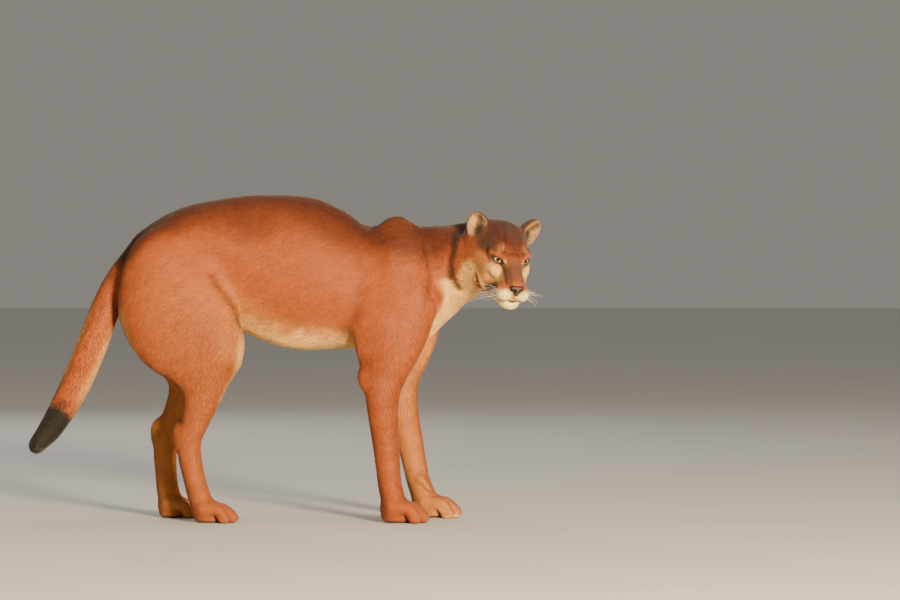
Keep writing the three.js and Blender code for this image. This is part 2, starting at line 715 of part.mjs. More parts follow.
function nosePad(grow) {
  const [w, h] = [NOSE.width / 2 + grow - NOSE.bevel, NOSE.height / 2 + grow - NOSE.bevel];
  const outline = new THREE.Shape().moveTo(-w * 0.2, -h);
  outline.lineTo(w * 0.2, -h).quadraticCurveTo(w * 0.4, -h * 0.1, w, h * 0.35);
  outline.quadraticCurveTo(w * 0.9, h, 0, h).quadraticCurveTo(-w * 0.9, h, -w, h * 0.35);
  outline.quadraticCurveTo(-w * 0.4, -h * 0.1, -w * 0.2, -h);
  const options = { depth: NOSE.depth, bevelSize: NOSE.bevel, bevelThickness: NOSE.bevel, bevelSegments: 2 };
  const pad = new THREE.ExtrudeGeometry(outline, { ...options, curveSegments: 4 });
  const [left, up, forward] = [[0, 1, 0], [-0.14, 0, 0.99], [0.99, 0, 0.14]].map((v) => new THREE.Vector3(...v));
  pad.applyMatrix4(new THREE.Matrix4().makeBasis(left, up, forward));
  return placed(pad.translate(NOSE.forward, 0, NOSE.up));
}

function nostril(side) {
  const hole = new THREE.SphereGeometry(1, 8, 6).scale(9, 4.5, 4.2).rotateZ(-side * 0.35);
  const slit = new THREE.SphereGeometry(1, 8, 6).scale(9, 6.5, 2).rotateX(side * 0.5).rotateZ(-side * 0.5);
  hole.translate(NOSTRIL.forward, side * NOSTRIL.side, NOSTRIL.up);
  slit.translate(NOSTRIL.forward - 2, side * (NOSTRIL.side + 5), NOSTRIL.up - 2);
  return placed(hole).add(placed(slit));
}

// A piece of the head, meshed along the head's own axes
function headPiece(low, high, cell, planes, without = []) {
  const whole = moved(frontField, headToBody, 1 / HEAD.size);
  let solid = placed(surfaceOf(whole, low, high, cell)).intersect(space(planes, -GAP / 2));
  for (const other of without) solid = solid.subtract(other);
  return largest(solid);
}

const sockets = bothSides(eyeSocket);
const headCell = [(forward) => (forward < 60 ? 16 : 9.5), 9.9, (up) => (up < -90 || up > 50 ? 14 : 9.5)];

add("head", "tawny_coat", headPiece([-75, -95, -135], [205, 95, 120], headCell, [flip(neckToHead)],
  [...earRoom, ...sockets, mouthLine(), philtrum(), nosePad(GAP)]));
for (const side of [RIGHT, LEFT]) {
  const which = side === RIGHT ? "_right" : "_left";
  const [low, high] = [[-50, side * 70 - 42, 35], [45, side * 70 + 42, 130]];
  add("ear" + which, "tawny_coat", headPiece(low, high, 9, earPlanes(side)));
  add("eye" + which, "eye", eyeball(side, 0));
}
add("nose", "nose_leather", bothSides(nostril).reduce((pad, hole) => pad.subtract(hole), nosePad(0)));

export default cougar;
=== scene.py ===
import math

import bpy
import numpy as np
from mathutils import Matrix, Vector


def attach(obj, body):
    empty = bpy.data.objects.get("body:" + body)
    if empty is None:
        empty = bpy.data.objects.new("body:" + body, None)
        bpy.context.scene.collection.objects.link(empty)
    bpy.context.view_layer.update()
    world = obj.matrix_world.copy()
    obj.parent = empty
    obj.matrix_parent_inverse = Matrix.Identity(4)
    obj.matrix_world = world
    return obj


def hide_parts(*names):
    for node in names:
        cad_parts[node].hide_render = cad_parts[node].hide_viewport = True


# The coat and colours of a life-size cougar, over its solids. Shapes are worked out in millimetres,
# in the drawing's own place, and become metres in the frame of the solids at the end.

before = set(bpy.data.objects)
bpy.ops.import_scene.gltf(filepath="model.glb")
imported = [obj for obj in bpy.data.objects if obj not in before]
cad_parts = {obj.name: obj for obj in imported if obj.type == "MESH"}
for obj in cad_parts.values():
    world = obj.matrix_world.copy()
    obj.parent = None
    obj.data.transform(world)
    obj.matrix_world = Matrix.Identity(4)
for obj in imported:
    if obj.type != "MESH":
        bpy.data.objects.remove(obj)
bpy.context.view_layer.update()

RIGHT = -1
LEFT = 1
SIDES = {RIGHT: "right", LEFT: "left"}
DRAWING_TO_FRAME = np.array([27.0, 50.0, 0.0])

# Trunk, from the tail's root to the brisket: x, z, half depth and half width of the section
HIP_HEIGHT = 568
SHOULDER_HEIGHT = 600
TRUNK = [
    (-352, 546, 50, 54), (-305, 572, 80, 78), (-235, 597, 95, 90), (-160, 587, 122, 96),
    (-85, 562, 156, 103), (-5, 552, 163, 110), (75, 527, 141, 112), (145, 511, 137, 106),
    (205, 508, 134, 96), (250, 516, 112, 82), (278, 524, 84, 66),
]

# Neck: x, y, z, half depth and half width. Tail: x, y, z and radius.
NECK = [
    (215, 0, 548, 98, 84), (280, -3, 555, 94, 78), (340, -20, 563, 89, 72),
    (388, -50, 582, 76, 67), (418, -82, 592, 66, 61),
]
TAIL = [
    (-335, 0, 572, 42), (-388, 0, 530, 38), (-426, -14, 465, 34), (-453, -42, 388, 35),
    (-482, -82, 310, 34), (-506, -122, 256, 31), (-532, -165, 208, 27), (-556, -202, 176, 20),
]
TAIL_PATH = np.array([row[:3] for row in TAIL], float)

# Legs from top to foot: x, z, half depth, half width, and distance from the middle
HIND_LEG = [
    (-276, 556, 95, 38, 60), (-266, 500, 122, 47, 73), (-252, 445, 129, 53, 83),
    (-227, 403, 107, 51, 88), (-210, 355, 79, 44, 90), (-206, 305, 52, 36, 88),
    (-213, 260, 40, 32, 85), (-227, 218, 33, 28, 82), (-240, 182, 30, 26, 80),
    (-238, 148, 27, 25, 79), (-228, 98, 25, 25, 78), (-217, 56, 26, 30, 78), (-207, 34, 25, 34, 78),
]
FORE_LEG = [
    (216, 626, 45, 22, 42), (226, 580, 56, 27, 60), (236, 530, 64, 32, 74), (240, 480, 64, 36, 82),
    (230, 425, 64, 37, 88), (214, 370, 56, 36, 91), (200, 320, 45, 33, 92), (193, 280, 40, 34, 91),
    (196, 230, 35, 32, 88), (203, 175, 31, 29, 86), (209, 125, 28, 28, 84), (214, 85, 27, 32, 83),
    (222, 52, 28, 37, 83),
]
HIND_STEP = {RIGHT: 0, LEFT: -88}
FORE_STEP = {RIGHT: -18, LEFT: 52}
HIND_BALL = (-205, 78)
FORE_BALL = (224, 83)
HIND_PAW_SIZE = 1.03
FORE_PAW_SIZE = 1.12
TOES = [(-33, 56), (-12, 71), (12, 71), (33, 56)]  # sideways and forwards from the ball

# Head: its own axes run forward, left and up, from a point between the ears
HEAD_AT = np.array([436.0, -95.0, 582.0])
HEAD_TURN, HEAD_NOD, HEAD_TILT = 17, 16.5, -4.5
HEAD_SIZE = 0.91
EYE_FORWARD, EYE_SIDE, EYE_UP, EYE_RADIUS, EYE_SPLAY = 82, 29.5, 16, 16.5, 20
LID_THICK, LID_WIDTH, LID_HEIGHT, LID_SLANT = 3, 31, 12, 17
EAR_BASE = (-7, 55, 40)
EAR_RISE, EAR_HEIGHT, EAR_WIDTH, EAR_DEPTH, EAR_WALL = 22, 41, 29, 21, 7
EAR_LEAN = {RIGHT: 12, LEFT: 34}
NOSE_AT = (163, 0, -37)
MOUTH_FORWARD, MOUTH_UP, MOUTH_REACH = 112, -69, 112

# How far the skin lies under the tips of the coat
DEPTH_BODY = 5.0
DEPTH_BELLY = 11.0
DEPTH_LEG = 2.4
DEPTH_TAIL = 5.0
DEPTH_HEAD = 1.8
DEPTH_CHEEK = 4.2
DEPTH_FACE = 0.9

HEAD_BLEND = 26  # how far the head and the neck run into each other
MARGIN = 14.0  # how far beyond its box a shape is still worked out exactly
FAR = 1e3


# Field tools: a field is negative inside, zero on the surface and positive outside
def smooth_min(a, b, blend):
    h = np.maximum(blend - np.abs(a - b), 0) / blend
    return np.minimum(a, b) - h * h * blend * 0.25


def smooth_max(a, b, blend):
    return -smooth_min(-a, -b, blend)


def rise(value, low, high):
    """From 0 at low to 1 at high, with level ends."""
    t = np.clip((value - low) / (high - low), 0, 1)
    return t * t * (3 - 2 * t)


def unit(vectors):
    return vectors / np.maximum(np.linalg.norm(vectors, axis=-1, keepdims=True), 1e-9)


def rotation(axis, angle):
    """Matrix of a turn by an angle in degrees."""
    x, y, z = unit(np.asarray(axis, float))
    c, s = math.cos(math.radians(angle)), math.sin(math.radians(angle))
    cross = np.array([[0, -z, y], [z, 0, -x], [-y, x, 0]])
    return c * np.eye(3) + s * cross + (1 - c) * np.outer((x, y, z), (x, y, z))


class Shape:
    """A field that is worked out only near its box; beyond, it is the distance to the box."""

    def __init__(self, inner, low, high, blend):
        self.inner, self.blend = inner, blend
        self.low, self.high = np.asarray(low, float), np.asarray(high, float)

    def __call__(self, points):
        beyond = np.maximum(np.maximum(self.low - points, points - self.high), 0)
        value = np.sqrt((beyond * beyond).sum(1))
        near = value < self.blend + MARGIN
        if near.any():
            value[near] = self.inner(points[near])
        return value


def radial(length, reach, least):
    return np.where(reach > 1e-3, length * (1 - 1 / np.maximum(reach, 1e-3)), -least)


def ellipsoid(centre, radii, blend):
    centre, radii = np.asarray(centre, float), np.asarray(radii, float)

    def inner(points):
        away = points - centre
        reach = np.linalg.norm(away / radii, axis=1)
        return radial(np.linalg.norm(away, axis=1), reach, radii.min())

    return Shape(inner, centre - radii, centre + radii, blend)


def curve_points(rows, count):
    """Points on the smooth curve through the rows, the same number between each two."""
    rows = np.asarray(rows, float)
    padded = np.vstack([2 * rows[0] - rows[1], rows, 2 * rows[-1] - rows[-2]])
    places = np.linspace(0, len(rows) - 1, count + 1)
    start = np.minimum(places.astype(int), len(rows) - 2)
    t = (places - start)[:, None]
    a, b, c, d = (padded[start + k] for k in range(4))
    gaps = [np.sqrt(np.linalg.norm(q - p, axis=1, keepdims=True)) for p, q in ((a, b), (b, c), (c, d))]
    middle = np.where(gaps[1] < 1e-4, 1.0, gaps[1])
    first, last = (np.where(gap < 1e-4, middle, gap) for gap in (gaps[0], gaps[2]))
    leave = ((b - a) / first - (c - a) / (first + middle) + (c - b) / middle) * middle
    arrive = ((c - b) / middle - (d - b) / (middle + last) + (d - c) / last) * middle
    square = -3 * b + 3 * c - 2 * leave - arrive
    cube = 2 * b - 2 * c + leave + arrive
    return b + leave * t + square * t * t + cube * t ** 3


def tube(stations, blend, standing=False, steps=3):
    """A tube through stations of x, y, z, half depth and half width."""
    stations = np.asarray(stations, float)
    count = (len(stations) - 1) * steps
    centre = curve_points(stations[:, :3], count)
    sizes = curve_points(stations[:, 3:], count)

    def inner(points):
        best = np.full(len(points), FAR)
        for a, b, (deep_a, wide_a), (deep_b, wide_b) in zip(centre, centre[1:], sizes, sizes[1:]):
            way = b - a
            away = points - a
            t = np.clip(away @ way / (way @ way), 0, 1)
            away = away - t[:, None] * way
            across = (0, 1, 0) if standing else unit(np.array([-way[1], way[0], 0]))
            square = (away * away).sum(1)
            sideways = away @ np.asarray(across, float)
            deep = deep_a + (deep_b - deep_a) * t
            wide = wide_a + (wide_b - wide_a) * t
            rest = np.maximum(square - sideways ** 2, 0) / deep ** 2
            reach = np.sqrt(sideways ** 2 / wide ** 2 + rest)
            np.minimum(best, radial(np.sqrt(square), reach, np.minimum(wide, deep)), out=best)
        return best

    around = sizes.max()
    return Shape(inner, centre.min(0) - around, centre.max(0) + around, blend)


def joined(shapes, blend=0):
    """Shapes run together one by one, each with its own blend."""
    def inner(points):
        value = shapes[0](points)
        for shape in shapes[1:]:
            value = smooth_min(value, shape(points), shape.blend)
        return value

    low = np.min([shape.low for shape in shapes], 0)
    high = np.max([shape.high for shape in shapes], 0)
    return Shape(inner, low, high, blend)


def path_distance(points, path):
    """Distance to a line through the path's points, and the share of the way along it."""
    path = np.asarray(path, float)
    best = np.full(len(points), FAR)
    along = np.zeros(len(points))
    for i, (a, b) in enumerate(zip(path, path[1:])):
        way = b - a
        t = np.clip((points - a) @ way / (way @ way), 0, 1)
        far = np.linalg.norm(points - a - t[:, None] * way, axis=1)
        closer = far < best
        best[closer] = far[closer]
        along[closer] = (i + t[closer]) / (len(path) - 1)
    return best, along


def ripple(places, length, seed):
    """Smooth noise from about -1 to 1, with waves of about this length."""
    draw = np.random.default_rng(seed)
    total = np.zeros(len(places))
    for _ in range(7):
        way = unit(draw.normal(size=3)) * (2 * math.pi / (length * draw.uniform(0.7, 1.4)))
        total += np.sin(places @ way + draw.uniform(0, 2 * math.pi))
    return total / 3


def mark(points, centre, radii):
    """1 in the middle of an oval mark, falling to 0 at its wavering edge."""
    reach = np.linalg.norm((points - centre) / radii, axis=1)
    near = reach < 2
    reach[near] += 0.13 * ripple(points[near], 9, 31)
    return 1 - rise(reach, 0.45, 1.2)


def streak(points, path, width):
    far = path_distance(points, path)[0]
    near = far < 2 * width
    far[near] += 0.13 * width * ripple(points[near], 8, 32)
    return 1 - rise(far, 0.3 * width, width)


def mirrored(points):
    """The points with those of the right side brought to the left."""
    return np.column_stack([points[:, 0], np.abs(points[:, 1]), points[:, 2]])


def mixed(a, b, share):
    return a + (np.asarray(b) - a) * np.asarray(share)[:, None]


def layered(values, layers):
    """The values with others laid over them in turn, each by its share."""
    for other, share in layers:
        values = mixed(values, other, share)
    return values


def trunk_at(x):
    """Height of the trunk's middle and half its depth, at places along the body."""
    places, heights, depths, _ = np.transpose(TRUNK)
    return np.interp(x, places, heights), np.interp(x, places, depths)


# Shapes of the trunk, legs and tail
def trunk_shapes():
    return [
        tube([(x, 0, z, deep, wide) for x, z, deep, wide in TRUNK], 30),
        ellipsoid((248, 0, 449), (46, 44, 42), 40),  # brisket
        ellipsoid((20, 0, 420), (110, 62, 42), 40),  # breastbone and belly
        ellipsoid((-372, 0, 520), (30, 44, 52), 30),  # root of the tail
    ]


def lean(rows, side, step, height):
    """Leg stations that a step shifts, most at the foot and not at all at the joint."""
    leaning = []
    for x, z, deep, wide, out in rows:
        share = min(max((height - z) / height, 0), 1)
        leaning.append((x + step * share, side * out, z, deep, wide))
    return leaning


def paw_shapes(side, ball_x, ball_y, size):
    y = side * ball_y
    shapes = [
        ellipsoid((ball_x + 6, y, 24 * size), np.array((32, 36, 25)) * size, 14),
        ellipsoid((ball_x + 8, y, 9 * size), np.array((30, 30, 14)) * size, 10),
    ]
    for spread, reach in TOES:
        out, reach = spread * size, reach * size
        rows = [
            (ball_x, y + out * 0.75, 32 * size, 15 * size, 14 * size),
            (ball_x + reach * 0.55, y + out * 0.95, 27 * size, 14 * size, 14 * size),
            (ball_x + reach - 14 * size, y + out, 11 * size, 14.5 * size, 13 * size),
        ]
        shapes.append(tube(rows, 7 * size, standing=True, steps=2))
    return shapes


def hind_shapes(side):
    step = HIND_STEP[side]
    knee, hock = step * 0.33, step * 0.68
    return [
        tube(lean(HIND_LEG, side, step, HIP_HEIGHT), 26, standing=True),
        ellipsoid((-168 + knee, side * 92, 388), (48, 40, 62), 30),  # knee and kneecap
        ellipsoid((-318 + knee * 0.5, side * 66, 478), (72, 46, 84), 34),  # back of the thigh
        ellipsoid((-300, side * 78, 565), (70, 34, 62), 36),  # hip
        ellipsoid((-258 + hock, side * 80, 192), (19, 14, 30), 16),  # heel bone
        *paw_shapes(side, HIND_BALL[0] + step, HIND_BALL[1], HIND_PAW_SIZE),
    ]


def fore_shapes(side):
    step = FORE_STEP[side]
    elbow = step * 0.5
    dewclaw = [(212 + step, side * 56, 88, 11, 11), (229 + step, side * 52, 66, 7, 7)]
    return [
        tube(lean(FORE_LEG, side, step, SHOULDER_HEIGHT), 20, standing=True),
        ellipsoid((184 + elbow * 0.6, side * 86, 408), (62, 34, 84), 24),  # triceps
        ellipsoid((268, side * 78, 496), (40, 36, 52), 24),  # point of the shoulder
        ellipsoid((160 + elbow, side * 92, 318), (25, 18, 30), 20),  # elbow
        tube(dewclaw, 8, standing=True, steps=1),
        *paw_shapes(side, FORE_BALL[0] + step, FORE_BALL[1], FORE_PAW_SIZE),
    ]


# Head axes and the way between them and the body's
turn = math.radians(HEAD_TURN)
head_forward = np.array([math.sin(turn), -math.cos(turn), 0])
head_left = np.array([math.cos(turn), math.sin(turn), 0])
HEAD_AXES = rotation(head_left, HEAD_NOD) @ rotation(head_forward, HEAD_TILT) @ np.column_stack(
    [head_forward, head_left, (0, 0, 1)])


def to_head(points):
    return (points - HEAD_AT) @ HEAD_AXES / HEAD_SIZE


def from_head(points):
    return np.asarray(points, float) * HEAD_SIZE @ HEAD_AXES.T + HEAD_AT


def eye_centre(side):
    return np.array([EYE_FORWARD, side * EYE_SIDE, EYE_UP], float)


def gaze_axes(side):
    """Across the lids, up and out of the eye, as rows."""
    splay = math.radians(EYE_SPLAY)
    gaze = np.array([math.cos(splay), side * math.sin(splay), 0])
    across = rotation(gaze, side * LID_SLANT) @ np.array([-gaze[1], gaze[0], 0])
    return np.array([across, np.cross(gaze, across), gaze])


def lid_opening(points, side):
    """Negative in front of the eye's centre, between the upper and the lower lid."""
    across, up, out = gaze_axes(side) @ (points - eye_centre(side)).T
    bow = 1 - (across / (LID_WIDTH / 2)) ** 2
    half = np.where(up > 0, LID_HEIGHT * 0.34, LID_HEIGHT * 0.48) * bow
    return np.maximum((np.abs(up) - half) * 0.8, 2 - out)


def ear_axes(side):
    """Up the ear, out of its cup, and across it, as rows."""
    lean_angle = math.radians(EAR_LEAN[side])
    up = unit(np.array([-0.1, side * math.sin(lean_angle), math.cos(lean_angle)]))
    out = np.array([0.88, side * 0.48, 0])
    out = unit(out - (out @ up) * up)
    return np.array([up, out, np.cross(up, out)])


def ear_base(side):
    return np.array(EAR_BASE, float) * (1, side, 1)


def ear_spot(points, side):
    return (points - ear_base(side)) @ ear_axes(side).T


EAR_SHELL = ellipsoid((EAR_RISE, 0, 0), (EAR_HEIGHT, EAR_DEPTH, EAR_WIDTH), 60)
EAR_CUP = ellipsoid((EAR_RISE + 4, EAR_DEPTH * 0.75, 0),
                    (EAR_HEIGHT - EAR_WALL, EAR_DEPTH, EAR_WIDTH - EAR_WALL), 60)


def ear_shape(side):
    def inner(points):
        spot = ear_spot(points, side)
        return smooth_max(EAR_SHELL(spot), -EAR_CUP(spot), 5)

    reach = EAR_RISE + EAR_HEIGHT
    return Shape(inner, ear_base(side) - reach, ear_base(side) + reach, 12)


def pair(make):
    return [make(RIGHT), make(LEFT)]


def head_shapes():
    return [
        ellipsoid((4, 0, 16), (74, 64, 67), 20),  # braincase
        tube([(16, 0, 34, 46, 50), (60, 0, 30, 42, 44), (92, 0, 14, 30, 32)], 20),  # forehead
        tube([(84, 0, 10, 29, 26), (120, 0, -11, 24, 22), (152, 0, -31, 19, 18)], 14),  # bridge
        ellipsoid((112, 0, -34), (50, 33, 30), 16),  # upper jaw
        ellipsoid((44, 0, -44), (70, 41, 32), 24),  # floor of the mouth
        ellipsoid((128, 0, -78), (23, 23, 17), 12),  # chin
        *pair(lambda side: ellipsoid((132, side * 20, -51), (33, 22, 23), 8)),  # whisker pads
        *pair(lambda side: tube([(90, side * 35, -12, 17, 15), (52, side * 45, -6, 23, 18),
                                 (6, side * 47, 0, 27, 20)], 16)),  # cheekbones
        *pair(lambda side: ellipsoid((32, side * 38, -42), (48, 25, 37), 20)),  # jaw muscles
        *pair(lambda side: tube([(24, side * 34, -58, 18, 14), (82, side * 26, -68, 15, 14),
                                 (118, side * 12, -77, 13, 13)], 12)),  # lower jaw
        *pair(lambda side: ellipsoid((-10, side * 50, -46), (38, 25, 43), 24)),  # cheek ruff
        *pair(lambda side: tube([(86, side * 15, 30, 13, 14), (72, side * 40, 28, 13, 14)], 16)),
        *pair(lambda side: ellipsoid(eye_centre(side), [EYE_RADIUS + LID_THICK] * 3, 8)),  # lids
        *pair(ear_shape),
    ]


neck_shape = tube(NECK, 28)
tail_shape = tube([(x, y, z, r, r) for x, y, z, r in TAIL], 20)
hind_legs = {side: joined(hind_shapes(side), 22) for side in SIDES}
fore_legs = {side: joined(fore_shapes(side), 34) for side in SIDES}
trunk_field = joined([*trunk_shapes(), neck_shape, *hind_legs.values(), *fore_legs.values()])
skull_field = joined(head_shapes(), 30)
head_box = from_head(np.array([(f, s, u) for f in (-75, 190) for s in (-95, 95) for u in (-115, 115)]))
head_field = Shape(lambda points: skull_field(to_head(points)) * HEAD_SIZE,
                   head_box.min(0), head_box.max(0), HEAD_BLEND)


def surface_point(start, way):
    """Where a line from inside the head leaves it, in the head's own measures."""
    start, way = np.asarray(start, float), unit(np.asarray(way, float))
    near, far = 0.0, 110.0
    for _ in range(26):
        middle = (near + far) / 2
        if skull_field((start + way * middle)[None])[0] < 0:
            near = middle
        else:
            far = middle
    return start + way * near


def mouth_path():
    points = []
    for angle in np.linspace(-MOUTH_REACH, MOUTH_REACH, 25):
        drop = 5 * (abs(angle) / MOUTH_REACH) ** 3
        way = (math.cos(math.radians(angle)), math.sin(math.radians(angle)), 0)
        points.append(surface_point((MOUTH_FORWARD, 0, MOUTH_UP - drop), way))
    return np.array(points)


MOUTH = mouth_path()
PHILTRUM = np.array([surface_point((120, 0, up), (1, 0, 0)) for up in (-48, -54, -60, -67)])


def tear_line(side):
    return [(106, side * 28, 8), (116, side * 23, -4), (129, side * 22.5, -10),
            (143, side * 22, -20), (152, side * 15, -34)]


# Folds and creases of the head: path, half width and depth, where a ridge has a negative depth
def head_folds():
    folds = [(MOUTH, 2.4, 3.2), (PHILTRUM, 1.8, 1.8), ([(20, 0, 85), (60, 0, 76), (100, 0, 46)], 4, 1.6)]
    for side in SIDES:
        folds += [
            (tear_line(side), 5.0, 2.2),
            ([(12, side * 9, 86), (50, side * 15, 76), (86, side * 19, 54)], 5.0, 1.4),  # frown
            ([(88, side * 42, 34), (100, side * 31, 33), (112, side * 22, 27)], 4.5, -2.6),  # brow
            ([(92, side * 22, 46), (106, side * 20, 34)], 5.0, 1.8),
            ([(104, side * 40, -24), (84, side * 46, -42), (80, side * 42, -60)], 6.0, 2.4),  # pad
            ([(38, side * 62, -46), (48, side * 58, -58), (50, side * 53, -70)], 6.0, 3.0),  # jowl
            ([(18, side * 64, -14), (8, side * 68, -44)], 7.0, 1.8),
        ]
        outer = eye_centre(side) + gaze_axes(side).T @ np.array([side * LID_WIDTH * 0.5, 0, 12])
        inner = eye_centre(side) + gaze_axes(side).T @ np.array([-side * LID_WIDTH * 0.55, -2, 13])
        folds += [([outer, outer + (-12, side * 8, 2)], 2.4, 1.0), ([inner, inner + (5, 0, -6)], 2.4, 1.2)]
    return [(np.asarray(path, float), width, depth) for path, width, depth in folds]


# Folds of the body: path, half width and depth
# The neck's fold; a band of painted shade also runs along it in the colours.
NECK_FOLD = np.array([(332, -62, 652), (349, -79, 634), (339, -95, 600), (332, -94, 563),
                      (335, -89, 532), (352, -82, 510)], float)  # in the turned side of the neck
BODY_FOLDS = [
    (NECK_FOLD, 9, 5.0),
    (NECK_FOLD - (18, 4, 0), 6, 2.0),
]
# These fold paths also guide streaks of painted shade in the coat's colours.
FLANK_FOLD = [(-180, 107, 538), (-150, 106, 497), (-127, 98, 457), (-116, 84, 414)]
SHOULDER_BACK = [(141, 85, 612), (145, 103, 557), (138, 106, 505), (128, 105, 450)]
SHOULDER_FRONT = [(286, 68, 616), (291, 92, 557), (281, 108, 492)]
for side in SIDES:
    BODY_FOLDS += [
        (np.array(SHOULDER_BACK) * (1, side, 1), 16, 4.5),
        (np.array(SHOULDER_FRONT) * (1, side, 1), 12, 3.5),
        ([(196, side * 90, 640), (210, side * 98, 560), (226, side * 108, 500)], 16, -3.0),
        (np.array(FLANK_FOLD) * (1, side, 1), 15, 6.5),
        ([(-262, side * 100, 620), (-232, side * 96, 640)], 20, -3.5),  # hip bone
    ]
    for rib in range(5):
        x = 96 - 34 * rib
        BODY_FOLDS.append(([(x, side * 112, 600), (x - 22, side * 118, 540), (x - 26, side * 112, 480)],
                           11, 1.3))
BODY_FOLDS = [(np.array(path, float), width, depth) for path, width, depth in BODY_FOLDS]
HEAD_FOLDS = head_folds()


def folded(points, folds):
    """How far the folds push the surface in."""
    depth_here = np.zeros(len(points))
    for path, width, depth in folds:
        reach = width * 3
        near = ((points > path.min(0) - reach) & (points < path.max(0) + reach)).all(1)
        if near.any():
            far, along = path_distance(points[near], path)
            fade = np.minimum(1, 5 * np.minimum(along, 1 - along) + 0.25)
            depth_here[near] += depth * fade * np.exp(-(far / width) ** 2)
    return depth_here


def head_share(points, spots):
    """1 on the head and 0 on the body, where spots are the points in the head's axes."""
    far = np.linalg.norm(spots - (50, 0, -5), axis=1)
    return rise(spots[:, 0], -80, -25) * (1 - rise(far, 145, 180))


def under_share(points):
    """1 under the chest and belly, 0 from the middle of the flank up."""
    x, y, z = points.T
    middle, deep = trunk_at(x)
    leg = rise(np.abs(y), 58, 84) * np.maximum(rise(x, 112, 150), 1 - rise(x, -140, -105))
    low = rise((middle - z) / deep, 0.62, 0.98) * rise(x, -190, -130) * (1 - rise(x, 300, 360))
    return low * (1 - leg) * rise(z, 325, 365)


def coat_depth(points, spots):
    x, y, z = points.T
    depth = DEPTH_BODY + (DEPTH_BELLY - DEPTH_BODY) * under_share(points)
    leg = (1 - rise(z, 110, 270)) * rise(x, -420, -395)
    depth = depth + (DEPTH_LEG - depth) * leg
    tail = 1 - rise(x, -430, -400)
    depth = depth + (DEPTH_TAIL - depth) * tail
    head = head_share(points, spots)
    if head.any():
        sides = mirrored(spots)
        cheek = mark(sides, (-4, 52, -48), (46, 36, 44))
        eye = mark(sides, (92, 29, 14), (34, 30, 30))
        muzzle = rise(spots[:, 0], 104, 140)
        ear = mark(sides, (-9, 63, 64), (46, 48, 47))
        on_head = DEPTH_HEAD + (DEPTH_CHEEK - DEPTH_HEAD) * cheek
        on_head += (DEPTH_FACE - on_head) * np.maximum.reduce([eye, muzzle, ear])
        depth = depth + (on_head - depth) * head
    return depth


def coat_field(points):
    """The coat's outer surface."""
    value = trunk_field(points)
    value = smooth_min(value, head_field(points), HEAD_BLEND)
    tail_blend = np.interp(points[:, 2], (430, 500), (1, 20))
    return smooth_min(value, tail_shape(points), tail_blend)


def skin_field(points):
    """The skin under the coat, with its folds and the openings of the eyes and nose."""
    spots = to_head(points)
    value = coat_field(points) + coat_depth(points, spots) + folded(points, BODY_FOLDS)
    face = np.flatnonzero((np.abs(spots - (60, 0, -10)) < (150, 110, 120)).all(1))
    if len(face):
        spots = spots[face]
        here = value[face] + folded(spots, HEAD_FOLDS) * HEAD_SIZE
        for side in SIDES:
            here = smooth_max(here, -lid_opening(spots, side) * HEAD_SIZE, 1.2)
        value[face] = smooth_max(here, -(nose_field(spots) - 0.4) * HEAD_SIZE, 1.0)
    return value


# Nose pad: an upside-down rounded triangle seen from the front, with comma-shaped nostrils
NOSE_LIFT = 8.0  # degrees that the pad looks up


def nose_spot(spots):
    """Forward, left and up from the middle of the nose pad."""
    return ((spots - NOSE_AT) @ rotation((0, 1, 0), -NOSE_LIFT)).T


def nose_field(spots):
    forward, left, up = nose_spot(spots)
    side = np.abs(left)
    lobe = np.hypot(np.maximum(side - 8, 0), (up - 3) * 1.15) - 8.5
    tip = np.hypot(left, up + 10) - 4.0
    outline = smooth_min(lobe, tip, 10)
    front = forward - 13 + 0.012 * (left ** 2 + up ** 2)
    return smooth_max(smooth_max(outline, front, 6), -forward - 10, 2)


def nostril_field(spots):
    forward, left, up = nose_spot(spots)
    side = np.abs(left)
    hole = np.sqrt(((forward - 13) / 10) ** 2 + ((side - 8.5) / 4.6) ** 2 + ((up + 0.5) / 4.0) ** 2) - 1
    curl_up = up + 2.5 - 0.35 * (side - 10)
    curl = np.sqrt(((forward - 11) / 12) ** 2 + ((side - 14) / 6.5) ** 2 + (curl_up / 1.9) ** 2) - 1
    return smooth_min(hole * 4, curl * 2.4, 2)


def nose_pad_field(points):
    spots = to_head(points)
    groove = np.abs(spots[:, 1]) + 0.25 * np.maximum(spots[:, 2] + 40, 0)
    pad = nose_field(spots) + 1.0 * np.exp(-(groove / 1.1) ** 2)
    return smooth_max(pad, -nostril_field(spots), 1.6) * HEAD_SIZE


# Surface of a field: one vertex in each cell that it crosses, in blocks with finer or coarser cells
BLOCK = 20.0
FINEST = 16  # cells along a block's side where they are finest
BATCH = 256  # blocks that are worked out at once


def grid_points(*ticks):
    return np.stack(np.meshgrid(*ticks, indexing="ij"), -1).reshape(-1, 3)


def block_values(field, low, blocks, cells):
    offsets = grid_points(*[np.arange(cells + 1) * (BLOCK / cells)] * 3)
    values = []
    for start in range(0, len(blocks), BATCH):
        corners = low + blocks[start:start + BATCH] * BLOCK
        points = (corners[:, None] + offsets[None]).reshape(-1, 3)
        values.append(field(points).reshape(-1, cells + 1, cells + 1, cells + 1))
    return np.concatenate(values)


